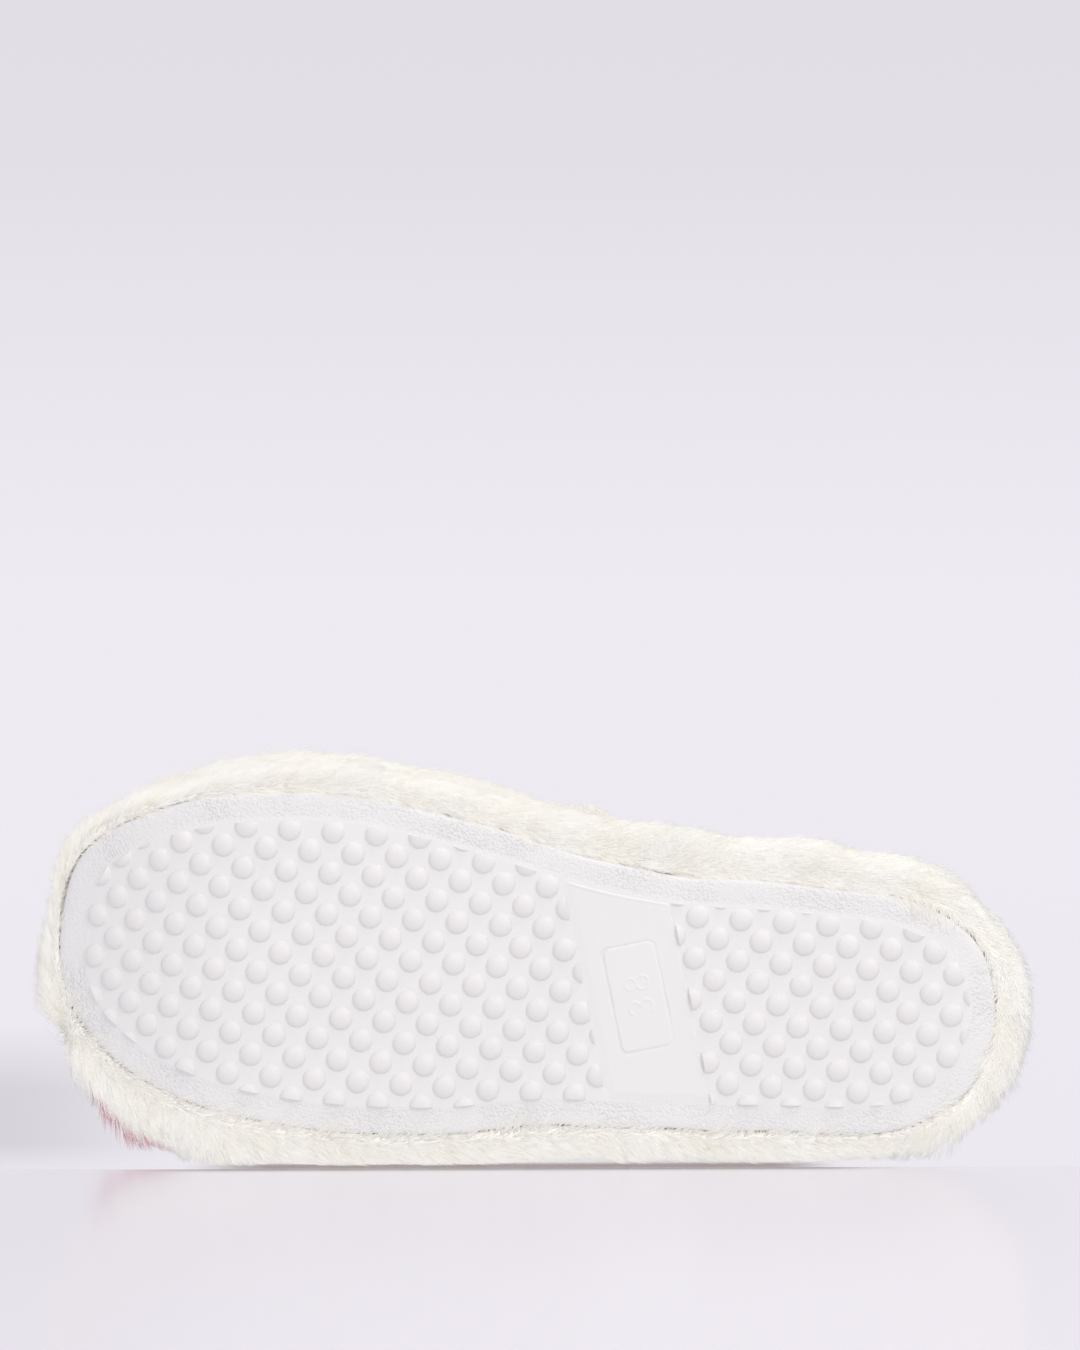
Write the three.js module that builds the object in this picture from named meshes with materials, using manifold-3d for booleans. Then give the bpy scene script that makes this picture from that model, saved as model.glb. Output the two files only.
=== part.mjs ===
// Fluffy house slipper for the right foot: a closed toe and an open back.
// Millimetres. +Z is up, the toe points to -Y and the inner side of the foot to +X. The origin
// is on the ground, at the middle of the overall box.
import * as THREE from 'three';
import { mergeVertices } from 'three/addons/utils/BufferGeometryUtils.js';
import Module from 'manifold-3d';

const wasm = await Module();
wasm.setup();

// ---------------------------------------------------------------- driving dimensions

const SOLE_LENGTH = 250;
const SOLE_WIDTH = 89; // across the ball of the foot
const TOE_SPRING = 19; // how far the toe tip curls up
const TOE_BEND_FROM_TOE = 60; // where the sole leaves the ground
const HEEL_SPRING = 2;
const HEEL_BEND_FROM_HEEL = 17;
const CLEARANCE = 0.3; // between pieces that touch

const DOT_HEIGHT = 1.8;
const DOT_DIAMETER = 6.2;
const DOT_TIP_DIAMETER = 3.6;
const DOT_ROOT = 0.8; // how deep a dot is joined into the sole
const DOT_PITCH_ALONG = 11.5;
const DOT_PITCH_ACROSS = 11.05;
const DOT_ROW_TURN = 1.8; // degrees
const DOT_START_FROM_TOE = 128.3; // one dot's centre, from which the rows are counted
const DOT_START_INWARD = 3.7;
const SOLE_THICKNESS = 3;
const BORDER_WIDTH = 7.4; // plain border round the dots
const WAIST_PANEL_LENGTH = 26.5;
const WAIST_PANEL_FROM_TOE = 154.4; // the middle of the smooth panel
const WAIST_PANEL_SLANT = 17; // degrees
const WAIST_PANEL_RISE = 0.4;
const DOT_PANEL_GAP = 0.4; // the dots are cut off just short of the panel
const SIZE_PLATE_LENGTH = 14.2;
const SIZE_PLATE_WIDTH = 28.4;
const SIZE_PLATE_DEPTH = 0.5;
const SIZE_PLATE_CORNER = 2;
const SIZE_PLATE_OUTWARD = 1.3; // its middle lies a little to the outer side

const FABRIC = 1.2; // backing of the wrapped band
const MIDSOLE_THICKNESS = 10;
const BOARD_THICKNESS = 1.2;
const BOARD_INSET = 1.5;
const PAD_THICKNESS = 5;
const COVER_THICKNESS = 3;
const BAND_TUCK = 9; // how far the band is turned in under the midsole
const BAND_BOTTOM = 2.2; // lowest point of the band's pile
const BAND_SOLE_GAP = 0.7; // the narrow gap beside the outsole's edge
const BAND_GROOVE_DEPTH = 3; // the seam between the band and the footbed cover
const BAND_GROOVE_WIDTH = 2.2;
const THREAD_DIAMETER = 1;
const SEAM_GAP = 1.4; // between the band's two ends
const STITCH_COUNT = 4;
const STITCH_SWING = 1.6;
const STITCH_DIAMETER = 0.6;

const LINING_THICKNESS = 2.2;
const VAMP_FOAM_THICKNESS = 1.8;
const VAMP_FUR_THICKNESS = 5.2;
const LINING_INSET = 3.5; // inside of the lining, in from the sole's edge
const TOE_INSET = 3; // the vamp's wall lies further in at the toe
const VAMP_SIDE_LENGTH = 138; // toe tip to the vamp's rear corners
const VAMP_TOP_LENGTH = 112; // toe tip to the middle of the opening edge
const TOE_BOX_HEIGHT = 24; // inside, above the vamp's seam
const TOE_BOX_ROUND = 34;
const INSTEP_HEIGHT = 48; // inside, at the opening
const VAMP_BULGE = 4; // the sides stand out beyond the seam
const VAMP_RIDGE_SHIFT = 5; // the crest lies to the big toe's side
const VAMP_SQUARENESS = 2.3;
const BINDING_LENGTH = 8;
const BINDING_OVERHANG = 0.5;

// Outline of the sole, from the toe tip round the inner side to the heel and back by the outer
// side: share of the length from the toe, share of half the width.
const SOLE_OUTLINE = [
  [0, 0.07], [0.016, 0.45], [0.066, 0.71], [0.152, 0.91], [0.27, 1], [0.36, 0.975],
  [0.477, 0.86], [0.577, 0.75], [0.657, 0.717], [0.78, 0.735], [0.894, 0.7], [0.946, 0.6],
  [0.98, 0.42], [1, 0.05], [0.98, -0.38], [0.946, -0.57], [0.894, -0.69], [0.78, -0.755],
  [0.64, -0.81], [0.525, -0.86], [0.417, -0.97], [0.26, -1], [0.152, -0.915],
  [0.066, -0.708], [0.016, -0.43],
];

// How far the band's pile reaches past the sole: share of the way round from the toe tip by the
// inner side, and the reach.
const BAND_REACH = [
  [0, 3.5], [0.05, 5], [0.12, 8], [0.22, 8.5], [0.3, 12], [0.36, 11.5], [0.44, 9], [0.5, 10.2],
  [0.57, 8], [0.68, 9], [0.78, 11], [0.88, 13], [0.93, 9.5], [0.97, 5],
];
const SEAM_SHARE = 0.311; // the band's two ends meet at the inner side of the waist

const OUTLINE_STEPS = 72;
const PLATE_STATIONS = 32;
const VAMP_STATIONS = 12;
const VAMP_SECTORS = 16;
const THREAD_SIDES = 6;
const BINDING_SIDES = 12;

// Heights of the stacked pieces, before the toe's and the heel's spring.
const GROUND_FACE = DOT_HEIGHT;
const SOLE_TOP = GROUND_FACE + SOLE_THICKNESS;
const FLANGE_BOTTOM = SOLE_TOP + CLEARANCE;
const FLANGE_TOP = FLANGE_BOTTOM + FABRIC;
const MIDSOLE_BOTTOM = FLANGE_TOP + CLEARANCE;
const MIDSOLE_TOP = MIDSOLE_BOTTOM + MIDSOLE_THICKNESS;
const BOARD_BOTTOM = MIDSOLE_TOP + CLEARANCE;
const BOARD_TOP = BOARD_BOTTOM + BOARD_THICKNESS;
const PAD_BOTTOM = BOARD_TOP + CLEARANCE;
const PAD_TOP = PAD_BOTTOM + PAD_THICKNESS;
const COVER_INSIDE = PAD_TOP + CLEARANCE;
const COVER_TOP = COVER_INSIDE + COVER_THICKNESS;
const VAMP_BASE = COVER_TOP + CLEARANCE;

// Distances out from the sole's edge.
const MIDSOLE_EDGE = -CLEARANCE;
const COVER_EDGE = -2 * CLEARANCE;
const COVER_INNER_EDGE = COVER_EDGE - COVER_THICKNESS;
const PAD_EDGE = COVER_INNER_EDGE - CLEARANCE;
const LINING_IN = -LINING_INSET;
const LINING_OUT = LINING_IN + LINING_THICKNESS;
const FOAM_IN = LINING_OUT + CLEARANCE;
const FOAM_OUT = FOAM_IN + VAMP_FOAM_THICKNESS;
const FUR_IN = FOAM_OUT + CLEARANCE;
const FUR_OUT = FUR_IN + VAMP_FUR_THICKNESS;

// ---------------------------------------------------------------- outline and heights

const TOE_Y = -SOLE_LENGTH / 2;
const alongSole = (distance) => TOE_Y + distance;
const smooth = (t) => THREE.MathUtils.smoothstep(t, 0, 1);

const outlineCurve = new THREE.CatmullRomCurve3(
  SOLE_OUTLINE.map(([along, across]) => new THREE.Vector3(
    across * SOLE_WIDTH / 2,
    alongSole(along * SOLE_LENGTH),
    0,
  )),
  true,
  'centripetal',
);

/** The point a share of the way round the sole's edge, moved out square to the edge. */
function edgePoint(share, outward) {
  const turn = THREE.MathUtils.euclideanModulo(share, 1);
  const point = outlineCurve.getPointAt(turn);
  const run = outlineCurve.getTangentAt(turn);
  return new THREE.Vector2(point.x + run.y * outward, point.y - run.x * outward);
}

/** Points all the way round, out from the sole's edge, starting at the band's seam. */
function edgeLine(outward, shift = () => 0) {
  return Array.from({ length: OUTLINE_STEPS }, (_, i) => {
    const share = SEAM_SHARE + i / OUTLINE_STEPS;
    return edgePoint(share, outward + shift(edgePoint(share, outward).y));
  });
}

/** How far the sole is lifted off the ground at a place along it. */
function lift(y) {
  const toeBend = alongSole(TOE_BEND_FROM_TOE);
  const heelBend = alongSole(SOLE_LENGTH - HEEL_BEND_FROM_HEEL);
  if (y < toeBend) {
    return TOE_SPRING * ((toeBend - y) / TOE_BEND_FROM_TOE) ** 2.1;
  }
  if (y > heelBend) {
    return HEEL_SPRING * ((y - heelBend) / HEEL_BEND_FROM_HEEL) ** 2;
  }
  return 0;
}

/** Lowest and highest y of an edge line. */
function reachAlong(edge) {
  const places = edge.map((point) => point.y);
  return [Math.min(...places), Math.max(...places)];
}

/** Where a line across the slipper at y crosses an edge line: outer side, inner side. */
function crossing(edge, y) {
  let outer = Infinity;
  let inner = -Infinity;
  edge.forEach((a, i) => {
    const b = edge[(i + 1) % edge.length];
    if (a.y === b.y || (a.y - y) * (b.y - y) > 0) {
      return;
    }
    const x = a.x + (b.x - a.x) * (y - a.y) / (b.y - a.y);
    outer = Math.min(outer, x);
    inner = Math.max(inner, x);
  });
  return [outer, inner];
}

/** The band's reach past the sole, eased from one row of the table to the next. */
function bandReach(share) {
  const turn = THREE.MathUtils.euclideanModulo(share, 1);
  const rows = [...BAND_REACH, [1, BAND_REACH[0][1]]];
  const next = rows.findIndex(([at]) => at > turn);
  const [low, high] = [rows[next - 1], rows[next]];
  return low[1] + (high[1] - low[1]) * smooth((turn - low[0]) / (high[0] - low[0]));
}

// ---------------------------------------------------------------- closed solids

function volumeOf(position, index) {
  const corners = [new THREE.Vector3(), new THREE.Vector3(), new THREE.Vector3()];
  let volume = 0;
  for (let i = 0; i < index.length; i += 3) {
    corners.forEach((corner, k) => corner.fromBufferAttribute(position, index[i + k]));
    volume += corners[0].dot(corners[1].clone().cross(corners[2])) / 6;
  }
  return volume;
}

/** A closed geometry from points and triangles, turned so that its faces point out. */
function closedGeometry(points, triangles) {
  const raw = new THREE.BufferGeometry().setFromPoints(points);
  raw.setIndex(triangles.flat());
  const geometry = mergeVertices(raw, 1e-4);
  const index = geometry.index.array;
  const kept = [];
  for (let i = 0; i < index.length; i += 3) {
    const [a, b, c] = index.slice(i, i + 3);
    if (a !== b && b !== c && c !== a) {
      kept.push(a, b, c);
    }
  }
  const insideOut = volumeOf(geometry.attributes.position, kept) < 0;
  geometry.setIndex(insideOut ? kept.reverse() : kept);
  geometry.computeVertexNormals();
  return geometry;
}

/** A plate inside an edge line, bent with the sole, between two heights. */
function plate(edge, bottom, top) {
  const [low, high] = reachAlong(edge);
  const points = [];
  for (let i = 0; i <= PLATE_STATIONS; i += 1) {
    const turn = Math.cos(Math.PI * i / PLATE_STATIONS);
    const y = (low + high) / 2 - (high - low) / 2 * turn * 0.99999;
    const [outer, inner] = crossing(edge, y);
    for (const [x, height] of [[outer, bottom], [inner, bottom], [inner, top], [outer, top]]) {
      points.push(new THREE.Vector3(x, y, height + lift(y)));
    }
  }
  const rings = Array.from({ length: PLATE_STATIONS + 1 }, (_, i) => points.slice(4 * i, 4 * i + 4));
  const section = [[0, 0], [1, 0], [1, 1], [0, 1]].map(([x, y]) => new THREE.Vector2(x, y));
  return loft(rings, section);
}

/** Rings of one section joined into a solid: a closed loop, or a strip with two end caps. */
function loft(rings, section, loop = false) {
  const size = section.length;
  const triangles = [];
  const spans = loop ? rings.length : rings.length - 1;
  for (let i = 0; i < spans; i += 1) {
    const a = i * size;
    const b = ((i + 1) % rings.length) * size;
    for (let j = 0; j < size; j += 1) {
      const k = (j + 1) % size;
      triangles.push([a + j, a + k, b + k], [a + j, b + k, b + j]);
    }
  }
  if (!loop) {
    const way = Math.sign(THREE.ShapeUtils.area(section));
    const far = (rings.length - 1) * size;
    for (const corners of THREE.ShapeUtils.triangulateShape(section, [])) {
      const turn = Math.sign(THREE.ShapeUtils.area(corners.map((corner) => section[corner])));
      const [p, q, r] = turn === way ? corners : [...corners].reverse();
      triangles.push([r, q, p], [far + p, far + q, far + r]);
    }
  }
  return closedGeometry(rings.flat(), triangles);
}

function circle(radius, sides) {
  return Array.from({ length: sides }, (_, i) => {
    const angle = 2 * Math.PI * i / sides;
    return new THREE.Vector2(radius * Math.cos(angle), radius * Math.sin(angle));
  });
}

/** A three.js shape as a solid for cutting and joining. */
function solid(geometry) {
  const bare = new THREE.BufferGeometry();
  bare.setAttribute('position', geometry.attributes.position);
  bare.setIndex(geometry.index);
  const welded = mergeVertices(bare, 1e-4);
  return new wasm.Manifold(new wasm.Mesh({
    numProp: 3,
    vertProperties: Float32Array.from(welded.attributes.position.array),
    triVerts: Uint32Array.from(welded.index.array),
  }));
}

function geometryOf(manifold) {
  const mesh = manifold.getMesh();
  const geometry = new THREE.BufferGeometry();
  geometry.setAttribute('position', new THREE.BufferAttribute(mesh.vertProperties, 3));
  geometry.setIndex(Array.from(mesh.triVerts));
  geometry.computeVertexNormals();
  return geometry;
}

// ---------------------------------------------------------------- outsole

const waistMiddle = new THREE.Vector3(0, alongSole(WAIST_PANEL_FROM_TOE), 0);
const waistTurn = -THREE.MathUtils.degToRad(WAIST_PANEL_SLANT);

/** A slab that spans the sole at the waist, slanted as the smooth panel is. */
function waistSlab(length) {
  const slab = new THREE.BoxGeometry(3 * SOLE_WIDTH, length, 8 * SOLE_TOP);
  slab.rotateZ(waistTurn);
  slab.translate(...waistMiddle);
  return solid(slab);
}

/** Where a place along the flat sheet lies once the toe is bent up: the sheet keeps its length. */
function bentAlong(y) {
  const step = 0.1;
  let place = alongSole(TOE_BEND_FROM_TOE);
  for (let run = place - y; run > 0;) {
    run -= Math.hypot(step, lift(place - step) - lift(place));
    place -= step;
    if (run <= 0) {
      return place;
    }
  }
  return y;
}

/** One low dot with a flat tip, square to the sole where it stands. */
function dot(x, y) {
  const height = DOT_HEIGHT + DOT_ROOT;
  const stud = new THREE.CylinderGeometry(DOT_DIAMETER / 2, DOT_TIP_DIAMETER / 2, height, 6);
  stud.rotateX(Math.PI / 2);
  stud.translate(0, 0, height / 2 - DOT_HEIGHT);
  stud.rotateX(Math.atan(lift(y + 0.5) - lift(y - 0.5)));
  stud.translate(x, y, GROUND_FACE + lift(y));
  return solid(stud);
}

/** Dots in turned, staggered rows, wherever they meet the field inside the border. */
function dots(fieldEdge) {
  const turn = THREE.MathUtils.degToRad(DOT_ROW_TURN);
  const [low, high] = reachAlong(fieldEdge);
  const overlap = DOT_TIP_DIAMETER / 2;
  const found = [];
  const rows = Math.ceil(2 * SOLE_LENGTH / DOT_PITCH_ALONG);
  const columns = Math.ceil(SOLE_WIDTH / DOT_PITCH_ACROSS);
  for (let row = -rows; row <= rows; row += 1) {
    for (let column = -columns; column <= columns; column += 1) {
      const along = row * DOT_PITCH_ALONG / 2;
      const across = (column + (row % 2 === 0 ? 0 : 0.5)) * DOT_PITCH_ACROSS;
      const x = DOT_START_INWARD + across * Math.cos(turn) + along * Math.sin(turn);
      const flat = alongSole(DOT_START_FROM_TOE) + along * Math.cos(turn) - across * Math.sin(turn);
      const y = bentAlong(flat);
      const [outer, inner] = crossing(fieldEdge, THREE.MathUtils.clamp(y, low + 1, high - 1));
      const meets = y > low - overlap && y < high + overlap;
      if (meets && x > outer - overlap && x < inner + overlap) {
        found.push(dot(x, y));
      }
    }
  }
  return wasm.Manifold.union(found);
}

/** The recess for the size number, with round corners, in the waist panel. */
function sizePlate(panelFace) {
  const [w, l, r] = [SIZE_PLATE_WIDTH / 2, SIZE_PLATE_LENGTH / 2, SIZE_PLATE_CORNER];
  const outline = new THREE.Shape();
  outline.absarc(w - r, l - r, r, 0, Math.PI / 2);
  outline.absarc(r - w, l - r, r, Math.PI / 2, Math.PI);
  outline.absarc(r - w, r - l, r, Math.PI, 1.5 * Math.PI);
  outline.absarc(w - r, r - l, r, 1.5 * Math.PI, 2 * Math.PI);
  const depth = SIZE_PLATE_DEPTH + DOT_HEIGHT;
  const block = mergeVertices(
    new THREE.ExtrudeGeometry(outline, { depth, bevelEnabled: false, curveSegments: 3 }));
  block.translate(-SIZE_PLATE_OUTWARD, 0, 0);
  block.rotateZ(waistTurn);
  block.translate(waistMiddle.x, waistMiddle.y, panelFace - DOT_HEIGHT);
  return solid(block);
}

function outsole() {
  const fieldEdge = edgeLine(-BORDER_WIDTH);
  const panelFace = GROUND_FACE - WAIST_PANEL_RISE;
  const field = solid(plate(fieldEdge, -DOT_HEIGHT, SOLE_TOP - DOT_ROOT));
  const panel = solid(plate(fieldEdge, panelFace, SOLE_TOP - DOT_ROOT));
  const dotFree = waistSlab(WAIST_PANEL_LENGTH + 2 * DOT_PANEL_GAP);
  const studs = dots(fieldEdge).intersect(field).subtract(dotFree);
  return geometryOf(
    solid(plate(edgeLine(0), GROUND_FACE, SOLE_TOP))
      .add(panel.intersect(waistSlab(WAIST_PANEL_LENGTH)))
      .add(studs)
      .subtract(sizePlate(panelFace)),
  );
}

// ---------------------------------------------------------------- footbed

function footbedCover() {
  const outside = solid(plate(edgeLine(COVER_EDGE), PAD_BOTTOM, COVER_TOP));
  const inside = solid(plate(edgeLine(COVER_INNER_EDGE), PAD_BOTTOM - SOLE_TOP, COVER_INSIDE));
  return geometryOf(outside.subtract(inside));
}

/** The band's section: distance out from the sole's edge, height. */
function bandSection(reach) {
  const shoulder = Math.max(0.62 * reach, BAND_GROOVE_WIDTH + 2 * CLEARANCE);
  const middle = (BAND_BOTTOM + COVER_TOP) / 2;
  return [
    [-BAND_TUCK, FLANGE_BOTTOM],
    [BAND_SOLE_GAP, FLANGE_BOTTOM],
    [BAND_SOLE_GAP + CLEARANCE, BAND_BOTTOM + 1],
    [BAND_SOLE_GAP + 0.2 * reach, BAND_BOTTOM],
    [0.85 * reach, BAND_BOTTOM + 3],
    [reach, middle],
    [0.92 * reach, COVER_TOP - 5],
    [shoulder, COVER_TOP],
    [BAND_GROOVE_WIDTH, COVER_TOP],
    [0, COVER_TOP - BAND_GROOVE_DEPTH],
    [0, FLANGE_TOP],
    [-BAND_TUCK, FLANGE_TOP],
  ].map(([outward, height]) => new THREE.Vector2(outward, height));
}

/** A section carried round the sole's edge at a share of the way. */
function ringAt(share, section) {
  return section.map((corner) => {
    const { x, y } = edgePoint(share, corner.x);
    return new THREE.Vector3(x, y, corner.y + lift(y));
  });
}

/** The fluffy band is one strip, whose two ends meet at a seam. */
function rimBand() {
  const halfGap = SEAM_GAP / 2 / outlineCurve.getLength();
  const rings = [];
  for (let i = 0; i <= OUTLINE_STEPS; i += 1) {
    const ends = (i === 0 ? halfGap : 0) - (i === OUTLINE_STEPS ? halfGap : 0);
    const share = SEAM_SHARE + i / OUTLINE_STEPS + ends;
    rings.push(ringAt(share, bandSection(bandReach(share))));
  }
  return loft(rings, bandSection(bandReach(SEAM_SHARE)));
}

/** The stitching that closes the band's seam, wavy like a row of stitches. */
function rimSeamThread() {
  const bottom = MIDSOLE_BOTTOM + THREAD_DIAMETER;
  const top = COVER_TOP - BAND_GROOVE_DEPTH - THREAD_DIAMETER;
  const turns = 2 * STITCH_COUNT;
  const path = Array.from({ length: turns + 1 }, (_, i) => {
    const outward = THREAD_DIAMETER + (i % 2) * STITCH_SWING;
    const { x, y } = edgePoint(SEAM_SHARE, outward);
    return new THREE.Vector3(x, y, bottom + (top - bottom) * i / turns);
  });
  const shape = new THREE.Shape(circle(STITCH_DIAMETER / 2, THREAD_SIDES));
  const extrudePath = new THREE.CatmullRomCurve3(path);
  return new THREE.ExtrudeGeometry(shape, { steps: 3 * turns, extrudePath });
}

/** The seam that joins the band, the vamp and the footbed cover, all the way round. */
function perimeterThread() {
  const section = circle(THREAD_DIAMETER / 2, THREAD_SIDES)
    .map((corner) => corner.add(new THREE.Vector2(2 * CLEARANCE, COVER_TOP - 0.8)));
  const rings = Array.from({ length: OUTLINE_STEPS }, (_, i) =>
    ringAt(SEAM_SHARE + i / OUTLINE_STEPS, section));
  return loft(rings, section, true);
}

// ---------------------------------------------------------------- vamp

/** The vamp's base line: it lies further in towards the toe. */
function vampEdge(outward) {
  const toeInset = (y) => -TOE_INSET * (1 - smooth((y - TOE_Y) / TOE_BEND_FROM_TOE));
  return edgeLine(outward, toeInset);
}

/** The vamp's height above its seam: a round toe box, then a slope up to the instep. */
function vampHeight(fromToe, y, outward) {
  const growth = outward - LINING_IN;
  const round = Math.min(1, fromToe / (TOE_BOX_ROUND + growth));
  const slope = THREE.MathUtils.clamp((y - TOE_Y) / VAMP_TOP_LENGTH, 0, 1);
  return (TOE_BOX_HEIGHT + growth) * Math.sqrt(1 - (1 - round) ** 2)
    + (INSTEP_HEIGHT - TOE_BOX_HEIGHT) * slope;
}

/** A point of the vamp: part runs from the toe to the opening, angle from the inner side. */
function vampPoint(edge, outward, part, angle) {
  const [toe] = reachAlong(edge);
  const rise = Math.sin(angle);
  const side = Math.cos(angle);
  const length = VAMP_SIDE_LENGTH + (VAMP_TOP_LENGTH - VAMP_SIDE_LENGTH) * rise ** 2;
  const fromToe = (alongSole(length) - toe) * (1 - Math.cos(part * Math.PI / 2));
  const y = toe + fromToe;
  const [outer, inner] = crossing(edge, Math.max(y, toe + 1e-4));
  const grown = smooth(fromToe / TOE_BEND_FROM_TOE);
  const bulge = VAMP_BULGE * grown * Math.sin(2 * Math.min(angle, Math.PI - angle));
  const half = part === 0 ? 0 : (inner - outer) / 2 + bulge;
  const power = 2 / VAMP_SQUARENESS;
  const ridge = VAMP_RIDGE_SHIFT * grown * rise ** 2;
  return new THREE.Vector3(
    (inner + outer) / 2 + ridge + half * Math.sign(side) * Math.abs(side) ** power,
    y,
    VAMP_BASE + lift(y) + vampHeight(fromToe, y, outward) * rise ** power,
  );
}

/** One layer of the vamp, between two distances out from the sole's edge. */
function vampLayer(inward, outward) {
  const points = [];
  const skin = [[inward, vampEdge(inward)], [outward, vampEdge(outward)]];
  const sector = (j) => (j === VAMP_SECTORS ? Math.PI : Math.PI * j / VAMP_SECTORS);
  for (const [distance, edge] of skin) {
    for (let i = 0; i <= VAMP_STATIONS; i += 1) {
      for (let j = 0; j <= VAMP_SECTORS; j += 1) {
        points.push(vampPoint(edge, distance, i / VAMP_STATIONS, sector(j)));
      }
    }
  }
  const at = (layer, i, j) => (layer * (VAMP_STATIONS + 1) + i) * (VAMP_SECTORS + 1) + j;
  const triangles = [];
  const quad = (a, b, c, d) => triangles.push([a, b, c], [a, c, d]);
  for (let i = 0; i < VAMP_STATIONS; i += 1) {
    for (let j = 0; j < VAMP_SECTORS; j += 1) {
      quad(at(1, i, j), at(1, i + 1, j), at(1, i + 1, j + 1), at(1, i, j + 1));
      quad(at(0, i, j), at(0, i, j + 1), at(0, i + 1, j + 1), at(0, i + 1, j));
    }
    quad(at(0, i, 0), at(0, i + 1, 0), at(1, i + 1, 0), at(1, i, 0));
    const last = VAMP_SECTORS;
    quad(at(1, i, last), at(1, i + 1, last), at(0, i + 1, last), at(0, i, last));
  }
  for (let j = 0; j < VAMP_SECTORS; j += 1) {
    const i = VAMP_STATIONS;
    quad(at(0, i, j), at(0, i, j + 1), at(1, i, j + 1), at(1, i, j));
  }
  return closedGeometry(points, triangles);
}

/** The roll of plush that closes the three layers' edges round the opening. */
function toplineBinding() {
  const skin = [[LINING_IN, vampEdge(LINING_IN)], [FUR_OUT, vampEdge(FUR_OUT)]];
  const along = BINDING_LENGTH / 2;
  const section = circle(1, BINDING_SIDES);
  const rings = [];
  for (let j = 0; j <= VAMP_SECTORS; j += 1) {
    const angle = Math.PI * j / VAMP_SECTORS;
    const [inside, outside] = skin.map(([distance, edge]) => vampPoint(edge, distance, 1, angle));
    const across = outside.clone().sub(inside).setY(0);
    const half = across.length() / 2 + BINDING_OVERHANG;
    const middle = inside.clone().add(outside).divideScalar(2);
    across.normalize();
    rings.push(section.map(({ x, y }) => middle.clone()
      .addScaledVector(across, half * x)
      .add(new THREE.Vector3(0, CLEARANCE + along + along * y, 0))));
  }
  return loft(rings, section);
}

// ---------------------------------------------------------------- the slipper

const WHITE_RUBBER = { color: 0xecebec, roughness: 0.55, metalness: 0 };
const CREAM_FUR = { color: 0xf3efe4, roughness: 0.95, metalness: 0 };
const CREAM_PLUSH = { color: 0xefe8d8, roughness: 0.9, metalness: 0 };
const WHITE_FOAM = { color: 0xf6f4ee, roughness: 0.85, metalness: 0 };
const GREY_BOARD = { color: 0xb9ab94, roughness: 0.8, metalness: 0 };
const CREAM_THREAD = { color: 0xe6dcc4, roughness: 0.7, metalness: 0 };

const slipper = new THREE.Group();

function add(name, geometry, finish) {
  const mesh = new THREE.Mesh(geometry, new THREE.MeshStandardMaterial(finish));
  mesh.name = name;
  slipper.add(mesh);
}

add('outsole', outsole(), WHITE_RUBBER);
add('midsole_foam', plate(edgeLine(MIDSOLE_EDGE), MIDSOLE_BOTTOM, MIDSOLE_TOP), WHITE_FOAM);
add('insole_board', plate(edgeLine(-BOARD_INSET), BOARD_BOTTOM, BOARD_TOP), GREY_BOARD);
add('footbed_pad', plate(edgeLine(PAD_EDGE), PAD_BOTTOM, PAD_TOP), WHITE_FOAM);
add('footbed_cover', footbedCover(), CREAM_PLUSH);
add('rim_band', rimBand(), CREAM_FUR);
add('rim_seam_thread', rimSeamThread(), CREAM_THREAD);
add('perimeter_thread', perimeterThread(), CREAM_THREAD);
add('vamp_lining', vampLayer(LINING_IN, LINING_OUT), CREAM_PLUSH);
add('vamp_foam', vampLayer(FOAM_IN, FOAM_OUT), WHITE_FOAM);
add('vamp_fur', vampLayer(FUR_IN, FUR_OUT), CREAM_FUR);
add('topline_binding', toplineBinding(), CREAM_PLUSH);

// The origin is at the middle of the overall box, on the ground.
const box = new THREE.Box3().setFromObject(slipper);
slipper.position.set(-(box.min.x + box.max.x) / 2, -(box.min.y + box.max.y) / 2, 0);

export default slipper;
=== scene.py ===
"""Builds the looks of a fluffy open-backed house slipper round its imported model.

The slipper stands on the ground with its toe to -Y and the inner side of the foot to +X.
Sizes inside the functions are millimetres in the sole's own frame, whose y = 0 is the middle of
the sole's length. They become metres in the model's frame when a mesh is made.
"""
import math

import bmesh
import bpy
import numpy as np
from bpy.props import FloatProperty, FloatVectorProperty, IntProperty, PointerProperty
from mathutils import Matrix, Vector
from mathutils.kdtree import KDTree


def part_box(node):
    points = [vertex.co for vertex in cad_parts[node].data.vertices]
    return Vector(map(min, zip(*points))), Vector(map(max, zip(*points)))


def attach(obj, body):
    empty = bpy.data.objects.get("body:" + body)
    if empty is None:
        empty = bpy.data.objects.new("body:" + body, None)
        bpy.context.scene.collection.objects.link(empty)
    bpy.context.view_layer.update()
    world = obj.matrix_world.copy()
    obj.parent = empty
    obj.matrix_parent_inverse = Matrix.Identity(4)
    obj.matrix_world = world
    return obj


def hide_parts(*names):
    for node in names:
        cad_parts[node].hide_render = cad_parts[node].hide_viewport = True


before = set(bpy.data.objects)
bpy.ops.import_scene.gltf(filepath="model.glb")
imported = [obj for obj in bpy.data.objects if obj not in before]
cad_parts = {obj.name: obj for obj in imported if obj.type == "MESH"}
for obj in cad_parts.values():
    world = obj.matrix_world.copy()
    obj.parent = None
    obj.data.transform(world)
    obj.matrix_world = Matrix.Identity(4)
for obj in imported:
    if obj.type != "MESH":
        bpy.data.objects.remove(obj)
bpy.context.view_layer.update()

bl_info = {
    "name": "Fluffy house slipper",
    "version": (1, 0, 0),
    "blender": (4, 5, 0),
    "location": "3D View > Sidebar > Slipper",
    "description": "Builds a long-pile house slipper with a dotted sole round its packed model",
    "category": "Object",
}

MM = 0.001
BODY = "root"

# ---------------------------------------------------------------- the sole's outline

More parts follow.
